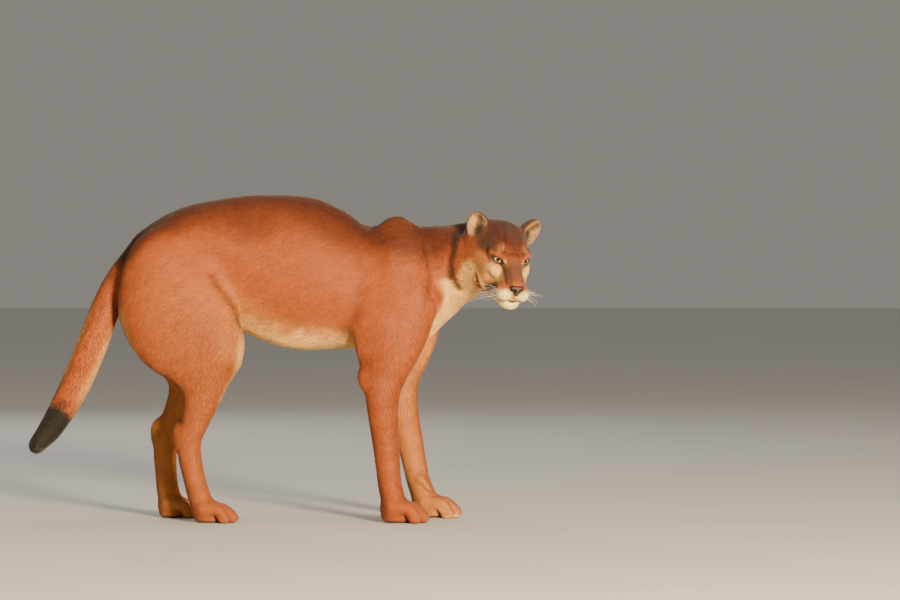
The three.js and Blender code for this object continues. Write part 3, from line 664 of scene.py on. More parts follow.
def surface_mesh(field, low, high, fineness):
    """Vertices and triangles of a field's zero surface between two corners."""
    low = np.asarray(low, float)
    counts = np.ceil((np.asarray(high) - low) / BLOCK).astype(int) + 1
    grid = grid_points(*map(np.arange, counts))
    level = fineness(low + (grid + 0.5) * BLOCK).reshape(counts)
    corner_points = low + grid_points(*map(np.arange, counts + 1)) * BLOCK
    corner_inside = (field(corner_points) < 0).reshape(counts + 1)
    total = np.zeros(counts, int)
    for a, b, c in grid_points((0, 1), (0, 1), (0, 1)):
        total += corner_inside[a:a + counts[0], b:b + counts[1], c:c + counts[2]]
    centre_value = field(low + (grid + 0.5) * BLOCK).reshape(counts)
    waiting = ((total > 0) & (total < 8)) | (np.abs(centre_value) < BLOCK / 2)
    done = np.zeros(counts, bool)
    batches = []
    while waiting.any():
        done |= waiting
        fresh = np.zeros(counts, bool)
        for cells in np.unique(level[waiting]):
            blocks = np.argwhere(waiting & (level == cells))
            values = block_values(field, low, blocks, cells)
            batches.append((cells, blocks, values))
            for axis in range(3):
                for end, step in ((0, -1), (cells, 1)):
                    face = values.take(end, axis + 1).reshape(len(blocks), -1) < 0
                    crossed = face.any(1) & ~face.all(1)
                    beside = blocks[crossed] + step * np.eye(3, dtype=int)[axis]
                    fits = ((beside >= 0) & (beside < counts)).all(1)
                    fresh[tuple(beside[fits].T)] = True
        waiting = fresh & ~done
    return dual_faces(low, counts, level, batches)


def dual_faces(low, counts, level, batches):
    """Joins the cells around each crossed edge, where cells of different sizes meet as well."""
    span = counts * FINEST
    cell_ids, crossings, keys = [], [], []
    for cells, blocks, values in batches:
        step = FINEST // cells
        for axis in range(3):
            b, c = (axis + 1) % 3, (axis + 2) % 3
            first = values.take(range(cells), axis + 1)
            second = values.take(range(1, cells + 1), axis + 1)
            hit = np.argwhere((first < 0) != (second < 0))
            before, after = first[tuple(hit.T)], second[tuple(hit.T)]
            start = blocks[hit[:, 0]] * FINEST + hit[:, 1:] * step
            ring, minimal = [], np.ones(len(hit), bool)
            for side_b, side_c in ((-1, -1), (1, -1), (1, 1), (-1, 1)):
                middle = start * 2
                middle[:, axis] += step
                middle[:, b] += side_b * step
                middle[:, c] += side_c * step
                block = np.clip(middle // (2 * FINEST), 0, counts - 1)
                size = FINEST // level[tuple(block.T)]
                minimal &= size >= step
                corner = middle // (2 * size[:, None]) * size[:, None]
                ring.append((corner[:, 0] * span[1] + corner[:, 1]) * span[2] + corner[:, 2])
            ring = np.array(ring).T
            ring[before >= 0] = ring[before >= 0, ::-1]
            point = start.astype(float)
            point[:, axis] += step * before / (before - after)
            key = ((start[:, 0] * (span[1] + 1) + start[:, 1]) * (span[2] + 1) + start[:, 2]) * 3 + axis
            cell_ids.append(ring[minimal])
            crossings.append(point[minimal])
            keys.append(key[minimal])
    ring, point, key = map(np.concatenate, (cell_ids, crossings, keys))
    once = np.unique(key, return_index=True)[1]
    ring, point = ring[once], point[once]
    names, quad = np.unique(ring, return_inverse=True)
    quad = quad.reshape(ring.shape)
    count = np.bincount(quad.ravel(), minlength=len(names))
    sums = [np.bincount(quad.ravel(), np.repeat(column, 4), minlength=len(names)) for column in point.T]
    vertices = np.column_stack(sums) / count[:, None]
    faces = np.concatenate([quad[:, [0, 1, 2]], quad[:, [0, 2, 3]]])
    whole = (faces[:, 0] != faces[:, 1]) & (faces[:, 1] != faces[:, 2]) & (faces[:, 0] != faces[:, 2])
    return low + vertices * (BLOCK / FINEST), faces[whole]


def slope(field, points, step=0.6):
    """The field's values and its slope at some points."""
    value = field(points)
    rising = np.column_stack([field(points + step * axis) - value for axis in np.eye(3)]) / step
    return value, rising


def settle(field, points, rounds, most):
    """Moves points onto the field's zero surface, at most so far in each round."""
    for _ in range(rounds):
        value, rising = slope(field, points)
        steep = np.maximum((rising ** 2).sum(1), 0.05)
        shift = rising * (value / steep)[:, None]
        length = np.maximum(np.linalg.norm(shift, axis=1, keepdims=True), 1e-9)
        points = points - shift * np.minimum(1, most / length)
    return points


def relax(points, faces, share):
    """Moves each point towards the mean of its neighbours."""
    one, other = np.concatenate([faces[:, [0, 1]], faces[:, [1, 2]], faces[:, [2, 0]]]).T

    def gathered(values):
        """Sum over the edges at each point, of what stands at their other ends."""
        return (np.bincount(one, values[other], minlength=len(points))
                + np.bincount(other, values[one], minlength=len(points)))

    count = gathered(np.ones(len(points)))
    mean = np.column_stack([gathered(column) / count for column in points.T])
    return points + share * (mean - points)


# The skin: fine cells on the head and finest on the face, finer ones on the paws
def fineness(centres):
    spots = to_head(centres)
    cells = np.full(len(centres), 4)
    cells[centres[:, 2] < 90] = 8
    cells[np.linalg.norm(spots - (40, 0, 0), axis=1) < 150] = 8
    face = (spots[:, 0] > 70) & (np.abs(spots[:, 1]) < 66) & (np.abs(spots[:, 2] + 15) < 75)
    cells[face] = 16
    return cells


SKIN_LOW = (-620, -260, -20)
SKIN_HIGH = (600, 180, 760)
SKIN_SHIFT = 2.0  # the most that a point of the skin moves in one round
NOSE_SHIFT = 0.6
FLOOR_CLEARANCE = 0.4
points, faces = surface_mesh(skin_field, SKIN_LOW, SKIN_HIGH, fineness)
points = settle(skin_field, points, 1, SKIN_SHIFT)
points = relax(points, faces, 0.5)
points = settle(skin_field, points, 1, SKIN_SHIFT)
normals = unit(slope(skin_field, points)[1])
points[:, 2] = np.maximum(points[:, 2], FLOOR_CLEARANCE)
spots = to_head(points)
on_head = head_share(points, spots)


# The lie of the coat
def body_ways(places, normals):
    """Back along the body, down the legs, and out along the tail."""
    x, y, z = places.T
    ways = np.column_stack([np.full(len(x), -1.0), 0 * x, -0.1 - 0.45 * np.abs(normals[:, 1])])
    ways = mixed(ways, (-0.85, 0.38, -0.35), rise(x, 250, 350))
    front = rise(x, 190, 270) * rise(normals[:, 0], 0.1, 0.7)
    ways = mixed(ways, (-0.2, 0, -1), np.maximum(front, rise(-normals[:, 0], 0.55, 0.9)))
    beside_belly = rise(z, 250, 290) * rise(x, -150, -100) * (1 - rise(x, 100, 130))
    leg = rise(470 - z, -40, 110) * rise(np.abs(y), 20, 60) * (1 - beside_belly)
    ways = mixed(ways, (-0.3, 0, -1), leg)
    ways = mixed(ways, (1, 0, -0.6), 1 - rise(z, 62, 110))
    along = path_distance(places, TAIL_PATH)[1] * (len(TAIL_PATH) - 1)
    step = np.minimum(along.astype(int), len(TAIL_PATH) - 2)
    tail_ways = unit(np.diff(TAIL_PATH, axis=0))[step]
    return mixed(ways, tail_ways, 1 - rise(x, -395, -350))


def head_ways(spots):
    """Away from the nose, and up and outwards on the ears, in the frame of the body."""
    ways = unit(spots - (158, 0, -28))
    for side in SIDES:
        beside = np.abs(spots - (-7, side * 63, 64)) < (42, 44, 52)
        ear = rise(ear_spot(spots, side)[:, 0], 2, 16) * beside.all(1)
        ways = mixed(ways, ear_axes(side)[0], ear)
    return ways @ HEAD_AXES.T


def on_surface(ways, normals):
    return unit(ways - (ways * normals).sum(1)[:, None] * normals)


def turned(ways, normals, angles):
    """Ways turned over the surface, by angles in radians."""
    angles = angles[:, None]
    return ways * np.cos(angles) + np.cross(normals, ways) * np.sin(angles)


SWIRL, TWIST = 14, 9  # degrees that the lie wanders, over the skin and from tuft to tuft


ways = unit(mixed(unit(body_ways(points, normals)), head_ways(spots), on_head))
ways = on_surface(ways, normals)
ways = turned(ways, normals, math.radians(SWIRL) * ripple(points, 70, 3))

# Colours of the coat
RUST = np.array((0.088, 0.015, 0.004))
TAWNY = np.array((0.335, 0.068, 0.011))
SAND = np.array((0.520, 0.180, 0.040))
CREAM = np.array((0.880, 0.470, 0.135))
WHITE = np.array((0.950, 0.720, 0.300))
GREY_BROWN = np.array((0.070, 0.027, 0.012))
EAR_DOWN = np.array((0.420, 0.235, 0.105))
BLACK = np.array((0.014, 0.009, 0.007))


def body_colours(places, normals):
    x, y, z = places.T
    middle, deep = trunk_at(x)
    height = (z - middle) / deep + 0.12 * ripple(places, 160, 11)
    # Painted light: the thigh a little paler, where it faces the light.
    thigh = rise(-x, 120, 200) * (1 - rise(z, 500, 600)) * (1 - rise(-x, 300, 370))
    low_flank = rise(-height, 0.35, 0.85) * rise(x, -190, -120) * (1 - rise(x, 90, 150)) * rise(z, 340, 370)
    below = rise(-normals[:, 2] + 0.16 * ripple(places, 26, 5), 0.15, 0.85)
    inner = rise(-np.sign(y) * normals[:, 1], 0.15, 0.7) * (1 - rise(z, 420, 480)) * rise(x, -380, -350)
    front_edge = (rise(normals[:, 0], 0.6, 0.98) * (1 - rise(z, 380, 450)) * rise(z, 250, 300)
                  * rise(-x, 60, 100))
    back_edge = (rise(-normals[:, 0], 0.55, 0.95) * (1 - rise(z, 440, 500)) * rise(z, 300, 340)
                 * rise(-x, 230, 270))
    throat = rise(x, 280, 330) * rise(-normals[:, 2] + 0.14 * ripple(places, 26, 6), 0.0, 0.6)
    sole = rise(-normals[:, 2], 0.5, 0.8) * (1 - rise(z, 8, 16))
    # Painted shade: darker streaks along the flank fold and the creases of the shoulder.
    folds = ((FLANK_FOLD, 15, 0.55), (SHOULDER_BACK, 18, 0.35), (SHOULDER_FRONT, 15, 0.35))
    tail = 1 - rise(x, -430, -390)
    along = path_distance(places, TAIL_PATH)[1]
    return layered(np.tile(TAWNY, (len(x), 1)), [
        # the darker back of the coat, deepened with painted shade on the top of the trunk
        (RUST, 0.92 * rise(height, 0.18, 0.95) * rise(x, -420, -380)),
        # painted light: paler thighs
        (SAND, 0.14 * thigh),
        (SAND, 0.55 * low_flank),
        (CREAM, under_share(places) * below),
        (SAND, 0.75 * inner),
        (CREAM, 0.7 * np.maximum(front_edge, back_edge)),
        (CREAM, throat),
        (BLACK * 2, sole),
        # painted shade along the folds
        *[(RUST, share * streak(mirrored(places), path, width)) for path, width, share in folds],
        (SAND, 0.2 * tail * rise(normals[:, 0], 0.2, 0.9)),
        (BLACK, tail * rise(along + 0.02 * ripple(places, 25, 9), 0.69, 0.77)),
    ])


def head_colours(spots, normals):
    forward, _, up = spots.T
    sides = mirrored(spots)
    upward = normals @ HEAD_AXES[:, 2]
    colours = np.tile(TAWNY, (len(spots), 1))
    colours = mixed(colours, RUST * 1.05, rise(upward, 0.2, 0.75) * (1 - rise(forward, 112, 140)))
    colours = mixed(colours, RUST * 0.55, 0.7 * rise(upward, 0.5, 0.9) * (1 - rise(forward, 20, 60)))

    def paint(colour, share):
        nonlocal colours
        colours = mixed(colours, colour, share)

    # Cheek and jaw
    paint(SAND, 0.85 * mark(sides, (52, 60, -34), (60, 34, 36)))
    paint(SAND * 1.05, 0.8 * mark(sides, (62, 60, -4), (48, 30, 30)))
    paint(CREAM, 0.95 * streak(sides, [(20, 74, -38), (8, 75, -62), (18, 60, -88)], 34))
    paint(CREAM, 0.95 * streak(sides, [(28, 72, -20), (42, 67, -30), (56, 60, -42), (70, 47, -64)], 10))
    # Painted shade: a dark streak along the crease of the jowl.
    paint(GREY_BROWN, 0.85 * streak(sides, [(42, 64, -42), (46, 59, -54), (50, 52, -70)], 7))
    paint(CREAM, rise(-up, 70, 82) * (1 - rise(forward, 84, 104)))
    # Around the eyes
    paint(CREAM, mark(sides, (98, 41, -20), (33, 28, 27)))
    paint(SAND, 0.4 * mark(sides, (92, 31, 43), (14, 13, 14)))
    paint(GREY_BROWN, 0.95 * mark(sides, (44, 54, 44), (52, 26, 30)))
    paint(GREY_BROWN, 0.6 * streak(sides, [(103, 21, 45), (106, 22, 36)], 6))
    paint(CREAM, 0.55 * streak(sides, [(112, 22, 18), (119, 18, 11), (127, 16, 4)], 4.5))
    # The dark tear line from the inner corner of the eye, deepened with painted shade down the side of the
    # nose.
    paint(BLACK * 2, 0.9 * streak(sides, [(110, 27, 10), *tear_line(LEFT)], 6.5))
    # Crown and frown
    paint(BLACK * 3, 0.7 * streak(sides, [(10, 0, 86), (45, 0, 80), (82, 0, 64), (102, 0, 44)], 4.5))
    paint(RUST * 0.4, 0.6 * streak(sides, [(12, 10, 86), (50, 15, 76), (86, 19, 54)], 5))
    # Muzzle and chin
    paint(GREY_BROWN * 1.6, 0.8 * mark(sides, (138, 8, 0), (46, 17, 28)))
    # Painted shade: a darker streak down each side of the nose bridge.
    paint(GREY_BROWN, 0.7 * streak(sides, [(118, 17, 8), (140, 15, -4), (156, 14, -18)], 7))
    paint(BLACK * 2, 0.95 * streak(sides, [(82, 42, -58), (94, 36, -53), (120, 38, -45)], 17))
    paint(WHITE, mark(sides, (153, 24, -54), (29, 22, 18)))
    paint(WHITE, mark(sides, (162, 0, -58), (20, 14, 13)))
    paint(WHITE, rise(-up, 62, 70) * rise(forward, 84, 104))
    paint(GREY_BROWN, 0.75 * streak(sides, [(158, 17, -24), (166, 14, -28)], 6))
    paint(BLACK, 1 - rise(path_distance(spots, MOUTH)[0], 2.6, 4.6))
    paint(BLACK, 0.9 * (1 - rise(path_distance(spots, PHILTRUM)[0], 1.4, 3.2)))
    for side in SIDES:
        _, tall, out = gaze_axes(side) @ (spots - eye_centre(side)).T
        edge = lid_opening(spots, side)
        rim = 1 - rise(tall, -1, 2) * rise(edge, 2.5, 4.0)  # a little wider under the eye
        paint(BLACK, (1 - rise(edge, 0.8, 2.4)) * rise(out, 4, 8))
        paint(BLACK, rim * (1 - rise(edge, 1.6, 3.4)) * rise(out, 4, 8))
        spot = ear_spot(spots, side)
        in_cup = (1 - rise(EAR_CUP(spot), 2.0, 5.0)) * (1 - rise(EAR_SHELL(spot), 0.0, 3.0))
        near_ear = rise(spot[:, 0], -8, 6) * np.maximum(in_cup, 1 - rise(ear_shape(side)(spots), 1.0, 5.0))
        inside = near_ear * in_cup
        cup = spot * (1, 0, 1)
        paint(GREY_BROWN, near_ear * (1 - inside) * (0.5 + 0.4 * (1 - rise(spot[:, 0], 20, 50))))
        paint(EAR_DOWN, inside)
        paint(GREY_BROWN * 1.4, 0.6 * inside * rise(ripple(spots, 6, 31), -0.2, 0.5))
        paint(CREAM, inside * 0.35 * mark(cup, (36, 0, -9), (20, 9, 9)))
        # Painted shade: the deep hollow low in the ear's cup much darker.
        paint(GREY_BROWN * 0.45, 0.95 * inside * mark(cup, (14, 0, 3), (19, 9, 15)))
        paint(GREY_BROWN * 0.8, 0.75 * inside * mark(cup, (42, 0, 6), (16, 9, 7)))
        paint(GREY_BROWN, 0.7 * inside * mark(cup, (30, 0, -2), (22, 9, 3)))
    return colours


colours = mixed(body_colours(points, normals), head_colours(spots, normals), on_head)
# Painted shade: a dark band down the fold in the turned side of the neck, from behind the ear downwards,
# where the head shades the neck.
colours = mixed(colours, RUST * 0.2, 0.9 * streak(points, NECK_FOLD, 13))
colours *= (1 + 0.06 * ripple(points, 40, 21) + 0.08 * ripple(points, 9, 22))[:, None]
colours = np.clip(colours, 0, 1)

# Sizes of the tufts in each zone: length, width, height of the tip, and tufts to a square centimetre
BODY_COAT = np.array((15.0, 1.9, 3.1, 22.0))
NECK_COAT = np.array((15.0, 1.8, 2.8, 22.0))
BELLY_COAT = np.array((34.0, 2.6, 9.0, 13.0))
THROAT_COAT = np.array((20.0, 2.2, 4.0, 16.0))
LEG_COAT = np.array((9.0, 1.5, 1.9, 26.0))
PAW_COAT = np.array((6.5, 1.3, 1.3, 30.0))
TAIL_COAT = np.array((19.0, 2.2, 3.6, 13.0))
EAR_COAT = np.array((5.0, 0.9, 0.5, 70.0))
HEAD_COAT = np.array((6.5, 1.1, 1.1, 48.0))
CHEEK_COAT = np.array((12.0, 1.5, 2.3, 42.0))
FACE_COAT = np.array((3.8, 0.8, 0.5, 85.0))


def coat_sizes(places, spots, on_head):
    x, _, z = places.T
    sides = mirrored(spots)
    face = np.maximum(rise(spots[:, 0], 96, 136), mark(sides, (92, 29, 14), (30, 30, 26)))
    head = layered(np.tile(HEAD_COAT, (len(x), 1)), [
        (CHEEK_COAT, mark(sides, (-4, 52, -48), (46, 36, 44))),
        (FACE_COAT, face),
        *[(EAR_COAT, 1 - rise(ear_shape(side)(spots), 1.0, 6.0)) for side in SIDES],
    ])
    sizes = layered(np.tile(BODY_COAT, (len(x), 1)), [
        (BELLY_COAT, under_share(places)),
        (NECK_COAT, rise(x, 280, 340)),
        (THROAT_COAT, rise(x, 280, 340) * (1 - rise(z, 500, 560))),
        (LEG_COAT, 1 - rise(z, 130, 290)),
        (PAW_COAT, 1 - rise(z, 40, 80)),
        (TAIL_COAT, 1 - rise(x, -430, -400)),
        (head, on_head),
    ])
    bare_lip = 1 - rise(path_distance(spots, MOUTH)[0], 3.5, 7.5)
    bare_lip = np.maximum(bare_lip, 1 - rise(path_distance(spots, PHILTRUM)[0], 2.0, 4.5))
    sizes[:, 3] *= 1 - on_head * bare_lip
    return sizes


sizes = coat_sizes(points, spots, on_head)


def mesh_object(name, points, faces, material):
    """A mesh in metres, in the frame of the solids, from points in the drawing's millimetres."""
    faces = np.asarray(faces)
    corners = faces.shape[1]
    mesh = bpy.data.meshes.new(name)
    mesh.vertices.add(len(points))
    mesh.vertices.foreach_set("co", ((np.asarray(points) + DRAWING_TO_FRAME) / 1000).ravel())
    mesh.loops.add(faces.size)
    mesh.loops.foreach_set("vertex_index", faces.ravel())
    mesh.polygons.add(len(faces))
    mesh.polygons.foreach_set("loop_start", np.arange(len(faces)) * corners)
    mesh.polygons.foreach_set("use_smooth", np.ones(len(faces), bool))
    mesh.update(calc_edges=True)
    mesh.validate()
    mesh.materials.append(material)
    piece = bpy.data.objects.new(name, mesh)
    bpy.context.scene.collection.objects.link(piece)
    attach(piece, "root")
    return piece


def add_colours(piece, colours):
    layer = piece.data.color_attributes.new("coat", "FLOAT_COLOR", "POINT")
    layer.data.foreach_set("color", np.column_stack([colours, np.ones(len(colours))]).ravel())


# Materials
def new_material(name, roughness):
    material = bpy.data.materials.new(name)
    material.use_nodes = True
    shader = material.node_tree.nodes["Principled BSDF"]
    shader.inputs["Roughness"].default_value = roughness
    shader.inputs["Base Color"].default_value = (0.5, 0.5, 0.5, 1)
    return material, material.node_tree, shader


def stored_values(tree, name):
    stored = tree.nodes.new("ShaderNodeAttribute")
    stored.attribute_name = name
    return stored


def add_noise(tree, scale, detail, low, high):
    """Noise over the object's own place, from low to high."""
    place = tree.nodes.new("ShaderNodeTexCoord")
    noise = tree.nodes.new("ShaderNodeTexNoise")
    noise.inputs["Scale"].default_value = scale
    noise.inputs["Detail"].default_value = detail
    spread = tree.nodes.new("ShaderNodeMapRange")
    spread.inputs["From Min"].default_value = 0.3
    spread.inputs["From Max"].default_value = 0.7
    spread.inputs["To Min"].default_value = low
    spread.inputs["To Max"].default_value = high
    tree.links.new(place.outputs["Object"], noise.inputs["Vector"])
    tree.links.new(noise.outputs["Fac"], spread.inputs["Value"])
    return spread.outputs["Result"]


def add_bump(tree, shader, height, strength, distance):
    bump = tree.nodes.new("ShaderNodeBump")
    bump.inputs["Strength"].default_value = strength
    bump.inputs["Distance"].default_value = distance
    tree.links.new(height, bump.inputs["Height"])
    tree.links.new(bump.outputs["Normal"], shader.inputs["Normal"])


def vary_colour(tree, shader, colour, grain, contrast):
    """A colour broken up by fine noise."""
    vary = tree.nodes.new("ShaderNodeVectorMath")
    vary.operation = "SCALE"
    tree.links.new(colour, vary.inputs[0])
    tree.links.new(add_noise(tree, grain, 3, 1 - contrast, 1 + contrast), vary.inputs["Scale"])
    tree.links.new(vary.outputs[0], shader.inputs["Base Color"])


def two_tone_material(name, roughness, dark, pale, grain, detail):
    """From a dark to a pale colour by noise."""
    material, tree, shader = new_material(name, roughness)
    blend = tree.nodes.new("ShaderNodeMix")
    blend.data_type = "RGBA"
    blend.inputs[6].default_value = (*dark, 1)
    blend.inputs[7].default_value = (*pale, 1)
    tree.links.new(add_noise(tree, grain, detail, 0, 1), blend.inputs[0])
    tree.links.new(blend.outputs[2], shader.inputs["Base Color"])
    return material


def coat_material(name, roughness, grain, contrast, bump):
    """The colour stored with the mesh."""
    material, tree, shader = new_material(name, roughness)
    vary_colour(tree, shader, stored_values(tree, "coat").outputs["Color"], grain, contrast)
    add_bump(tree, shader, add_noise(tree, grain * 2, 2, 0, 1), bump, 0.001)
    shader.inputs["Sheen Weight"].default_value = 0.12
    shader.inputs["Sheen Roughness"].default_value = 0.5
    shader.inputs["Specular IOR Level"].default_value = 0.3
    return material


skin_material = coat_material("short_fur", 0.75, 420, 0.16, 0.5)
tuft_material = coat_material("guard_hair", 0.6, 300, 0.10, 0.15)

FLESH_NODES = [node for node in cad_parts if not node.startswith(("eye", "nose"))]
skin = mesh_object("skin", points, faces, skin_material)
add_colours(skin, colours)
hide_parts(*FLESH_NODES)


# Tufts: closed tapered locks of three sides, rooted in the skin and lying along it
LONG_TUFT = {
    "rings": [(0.0, 0.7), (0.42, 1.0)],
    "faces": [(0, 2, 1), (0, 4, 3), (0, 1, 4), (1, 5, 4), (1, 2, 5), (2, 3, 5), (2, 0, 3),
              (3, 4, 6), (4, 5, 6), (5, 3, 6)],
}
SHORT_TUFT = {"rings": [(0.0, 1.0)], "faces": [(0, 2, 1), (0, 1, 3), (1, 2, 3), (2, 0, 3)]}
ROOT_DEPTH = 0.7  # millimetres that a root is sunk into the skin
CREST = 0.38  # height of a tuft's ridge over its width
PATCH = 0.0015  # half the side of a tuft's patch on the unwrap
PATCH_CORNERS = {
    7: [(-1, -1), (1, -1), (0, -1), (-0.8, 0), (0.8, 0), (0, 0), (0, 1)],
    4: [(-1, -1), (1, -1), (0, -1), (0, 1)],
}
MOST_TRIANGLES = 199_000  # in one piece of the coat
TONE_SPREAD = 0.15  # how much the tufts differ in tone
ROOT_TONE, TIP_TONE = 0.92, 1.06
SIZE_SPREAD = 0.72, 1.25  # smallest and largest tuft over its zone's sizes
FLARE = 0.35  # how far the flanks of a tuft face sideways
UNWRAP_ANGLE, UNWRAP_GAP = 66, 0.004


def unwrap(name, chosen):
    """Corners of each triangle on an unwrap of this stretch of the skin's own shape."""
    used, local = np.unique(chosen, return_inverse=True)
    piece = mesh_object(name, points[used], local.reshape(chosen.shape), skin_material)
    bpy.context.view_layer.objects.active = piece
    piece.select_set(True)
    bpy.ops.object.mode_set(mode="EDIT")
    bpy.ops.mesh.select_all(action="SELECT")
    bpy.ops.uv.smart_project(angle_limit=math.radians(UNWRAP_ANGLE), island_margin=UNWRAP_GAP)
    bpy.ops.object.mode_set(mode="OBJECT")
    flat = np.zeros(len(piece.data.loops) * 2)
    piece.data.uv_layers.active.data.foreach_get("uv", flat)
    mesh = piece.data
    bpy.data.objects.remove(piece)
    bpy.data.meshes.remove(mesh)
    return flat.reshape(-1, 3, 2)


def grow(name, chosen, tuft, draw):
    """Covers the chosen triangles of the skin with tufts."""
    corners = points[chosen]
    sides = np.cross(corners[:, 1] - corners[:, 0], corners[:, 2] - corners[:, 0])
    area = np.linalg.norm(sides, axis=1) / 200  # half the product's length, in square centimetres
    wanted = np.cumsum(area * sizes[chosen][:, :, 3].mean(1))
    count = min(int(wanted[-1]), MOST_TRIANGLES // len(tuft["faces"]))
    ticks = (np.arange(count) + draw.uniform(0, 1, count)) * (wanted[-1] / count)
    row = np.minimum(np.searchsorted(wanted, ticks), len(chosen) - 1)
    home = chosen[row]
    share = draw.uniform(0, 1, (count, 2))
    over = share.sum(1) > 1
    share[over] = 1 - share[over]
    share = np.column_stack([1 - share.sum(1), share])

    def at(values):
        return (values[home] * share[:, :, None]).sum(1)

    root, normal, way, size = at(points), unit(at(normals)), at(ways), at(sizes)
    way = on_surface(way, normal)
    way = turned(way, normal, math.radians(TWIST) * draw.normal(size=count))
    length, width, lift = (size[:, k] * draw.uniform(*SIZE_SPREAD, count) for k in range(3))
    lift = np.minimum(lift, size[:, 2] * 1.1)
    across = np.cross(normal, way)
    places, outward, shade = [], [], []
    tone = at(colours) * draw.normal(1, TONE_SPREAD, count)[:, None]

    def along(t):
        line = root + way * (length * t)[:, None]
        height = lift * (1 - (1 - t) ** 2)
        if t == 0:
            return line - normal * ROOT_DEPTH
        line = line + normal * height[:, None]
        gap = np.clip(height - skin_field(line), -length / 2, length / 2)
        line = line + normal * gap[:, None]
        line[:, 2] = np.maximum(line[:, 2], FLOOR_CLEARANCE)
        return line

    for t, wide in tuft["rings"]:
        line = along(t)
        half = across * (width * wide / 2)[:, None]
        places += [line - half, line + half, line + normal * (width * wide * CREST)[:, None]]
        outward += [unit(normal - across * FLARE), unit(normal + across * FLARE), normal]
        shade += [tone * (ROOT_TONE + 0.15 * t)] * 3
    places.append(along(1.0))
    outward.append(normal)
    shade.append(tone * TIP_TONE)
    places, outward, shade = (np.stack(rows, 1).reshape(-1, 3) for rows in (places, outward, shade))
    places[:, 2] = np.maximum(places[:, 2], FLOOR_CLEARANCE)
    each = len(tuft["rings"]) * 3 + 1
    template = np.array(tuft["faces"])
    triangles = (np.arange(count)[:, None, None] * each + template[None]).reshape(-1, 3)
    coat = mesh_object(name, places, triangles, tuft_material)
    add_colours(coat, np.clip(shade, 0, 1))
    flat = unwrap(name + "_unwrap", chosen)
    middle = (flat[row] * share[:, :, None]).sum(1)
    middle = np.clip(middle, 2 * PATCH, 1 - 2 * PATCH)
    patch = (middle[:, None] + np.array(PATCH_CORNERS[each]) * PATCH).reshape(-1, 2)
    layer = coat.data.uv_layers.new(name="OFBake")
    layer.data.foreach_set("uv", patch[triangles.ravel()].ravel())
    coat.data.normals_split_custom_set_from_vertices(outward)
    return coat


# Which part of the skin each coat piece grows on
NECK_FROM, CHEST_FROM, RUMP_TO, TAIL_TO, LEG_TOP = 309, 45, -165, -398, 250
UNDER_FROM = 0.25  # share of the belly's coat from which a triangle is the belly's
middles = points[faces].mean(1)
head_middle = on_head[faces].mean(1) > 0.5
side_word = np.where(middles[:, 1] < 0, "right", "left")
head_side = np.where(spots[faces][:, :, 1].mean(1) < 0, "right", "left")
front = middles[:, 0] > 0
part = np.where(middles[:, 0] > CHEST_FROM, "chest", np.where(middles[:, 0] > RUMP_TO, "flank", "rump"))
part = np.where(under_share(middles) > UNDER_FROM, "belly", part)
label = np.char.add(np.char.add(part, "_"), side_word)
low = middles[:, 2] < LEG_TOP
label = np.where(low, np.char.add(np.where(front, "fore_leg_", "hind_leg_"), side_word), label)
label = np.where(middles[:, 0] > NECK_FROM, "neck", label)
label = np.where(middles[:, 0] < TAIL_TO, "tail", label)
label = np.where(head_middle, np.char.add("head_", head_side), label)
bare = (middles[:, 2] < 3) & (normals[faces][:, :, 2].mean(1) < -0.5)

draw = np.random.default_rng(5)
for name in sorted(set(label)):
    chosen = faces[(label == name) & ~bare]
    long = name.startswith(("belly", "neck", "tail"))
    grow("coat_" + name, chosen, LONG_TUFT if long else SHORT_TUFT, draw)


# Eyes: a ball with a bulging cornea, whose colours follow the distance from the line of sight
CORNEA_BULGE = 0.045  # of the eye's radius
EYE_CLEARANCE = 0.985  # the ball's radius over that of the place the lids leave it
PUPIL = (0.004, 0.003, 0.003)
BACK_OF_EYE = (0.10, 0.06, 0.05)
EYE_RINGS = [
    (0.22, PUPIL), (0.26, (0.26, 0.18, 0.090)), (0.40, (0.44, 0.32, 0.160)), (0.52, (0.28, 0.18, 0.080)),
    (0.60, (0.02, 0.010, 0.006)), (0.72, (0.16, 0.11, 0.08)),
]


def eye_material():
    material, tree, shader = new_material("amber_eye", 0.08)
    sight = stored_values(tree, "sight")
    apart = tree.nodes.new("ShaderNodeSeparateXYZ")
    flat = tree.nodes.new("ShaderNodeCombineXYZ")
    length = tree.nodes.new("ShaderNodeVectorMath")
    length.operation = "LENGTH"
    ramp = tree.nodes.new("ShaderNodeValToRGB")
    first, last = ramp.color_ramp.elements
    first.color = (*PUPIL, 1)
    last.color = (*BACK_OF_EYE, 1)
    for position, colour in EYE_RINGS:
        ramp.color_ramp.elements.new(position).color = (*colour, 1)
    links = tree.links
    links.new(sight.outputs["Vector"], apart.inputs[0])
    links.new(apart.outputs["X"], flat.inputs["X"])
    links.new(apart.outputs["Y"], flat.inputs["Y"])
    links.new(flat.outputs[0], length.inputs[0])
    links.new(length.outputs["Value"], ramp.inputs["Fac"])
    vary_colour(tree, shader, ramp.outputs["Color"], 1600, 0.25)
    shader.inputs["Specular IOR Level"].default_value = 0.15
    shader.inputs["Coat Weight"].default_value = 0.3
    shader.inputs["Coat Roughness"].default_value = 0.03
    return material


def ball_rows(around, rings):
    """Directions over a sphere, and its faces of three corners."""
    turns = np.linspace(0, 2 * math.pi, around, endpoint=False)
    heights = np.linspace(0, math.pi, rings + 1)[1:-1]
    ways = [(0, 0, 1)]
    for height in heights:
        ways += [(math.sin(height) * math.cos(a), math.sin(height) * math.sin(a), math.cos(height))
                 for a in turns]
    ways.append((0, 0, -1))
    faces = []
    for i in range(around):
        j = (i + 1) % around
        faces.append((0, 1 + i, 1 + j))
        for k in range(len(heights) - 1):
            a, b = 1 + k * around, 1 + (k + 1) * around
            faces += [(a + i, b + i, b + j), (a + i, b + j, a + j)]
        last = 1 + (len(heights) - 1) * around
        faces.append((last + i, len(ways) - 1, last + j))
    return np.array(ways, float), np.array(faces)


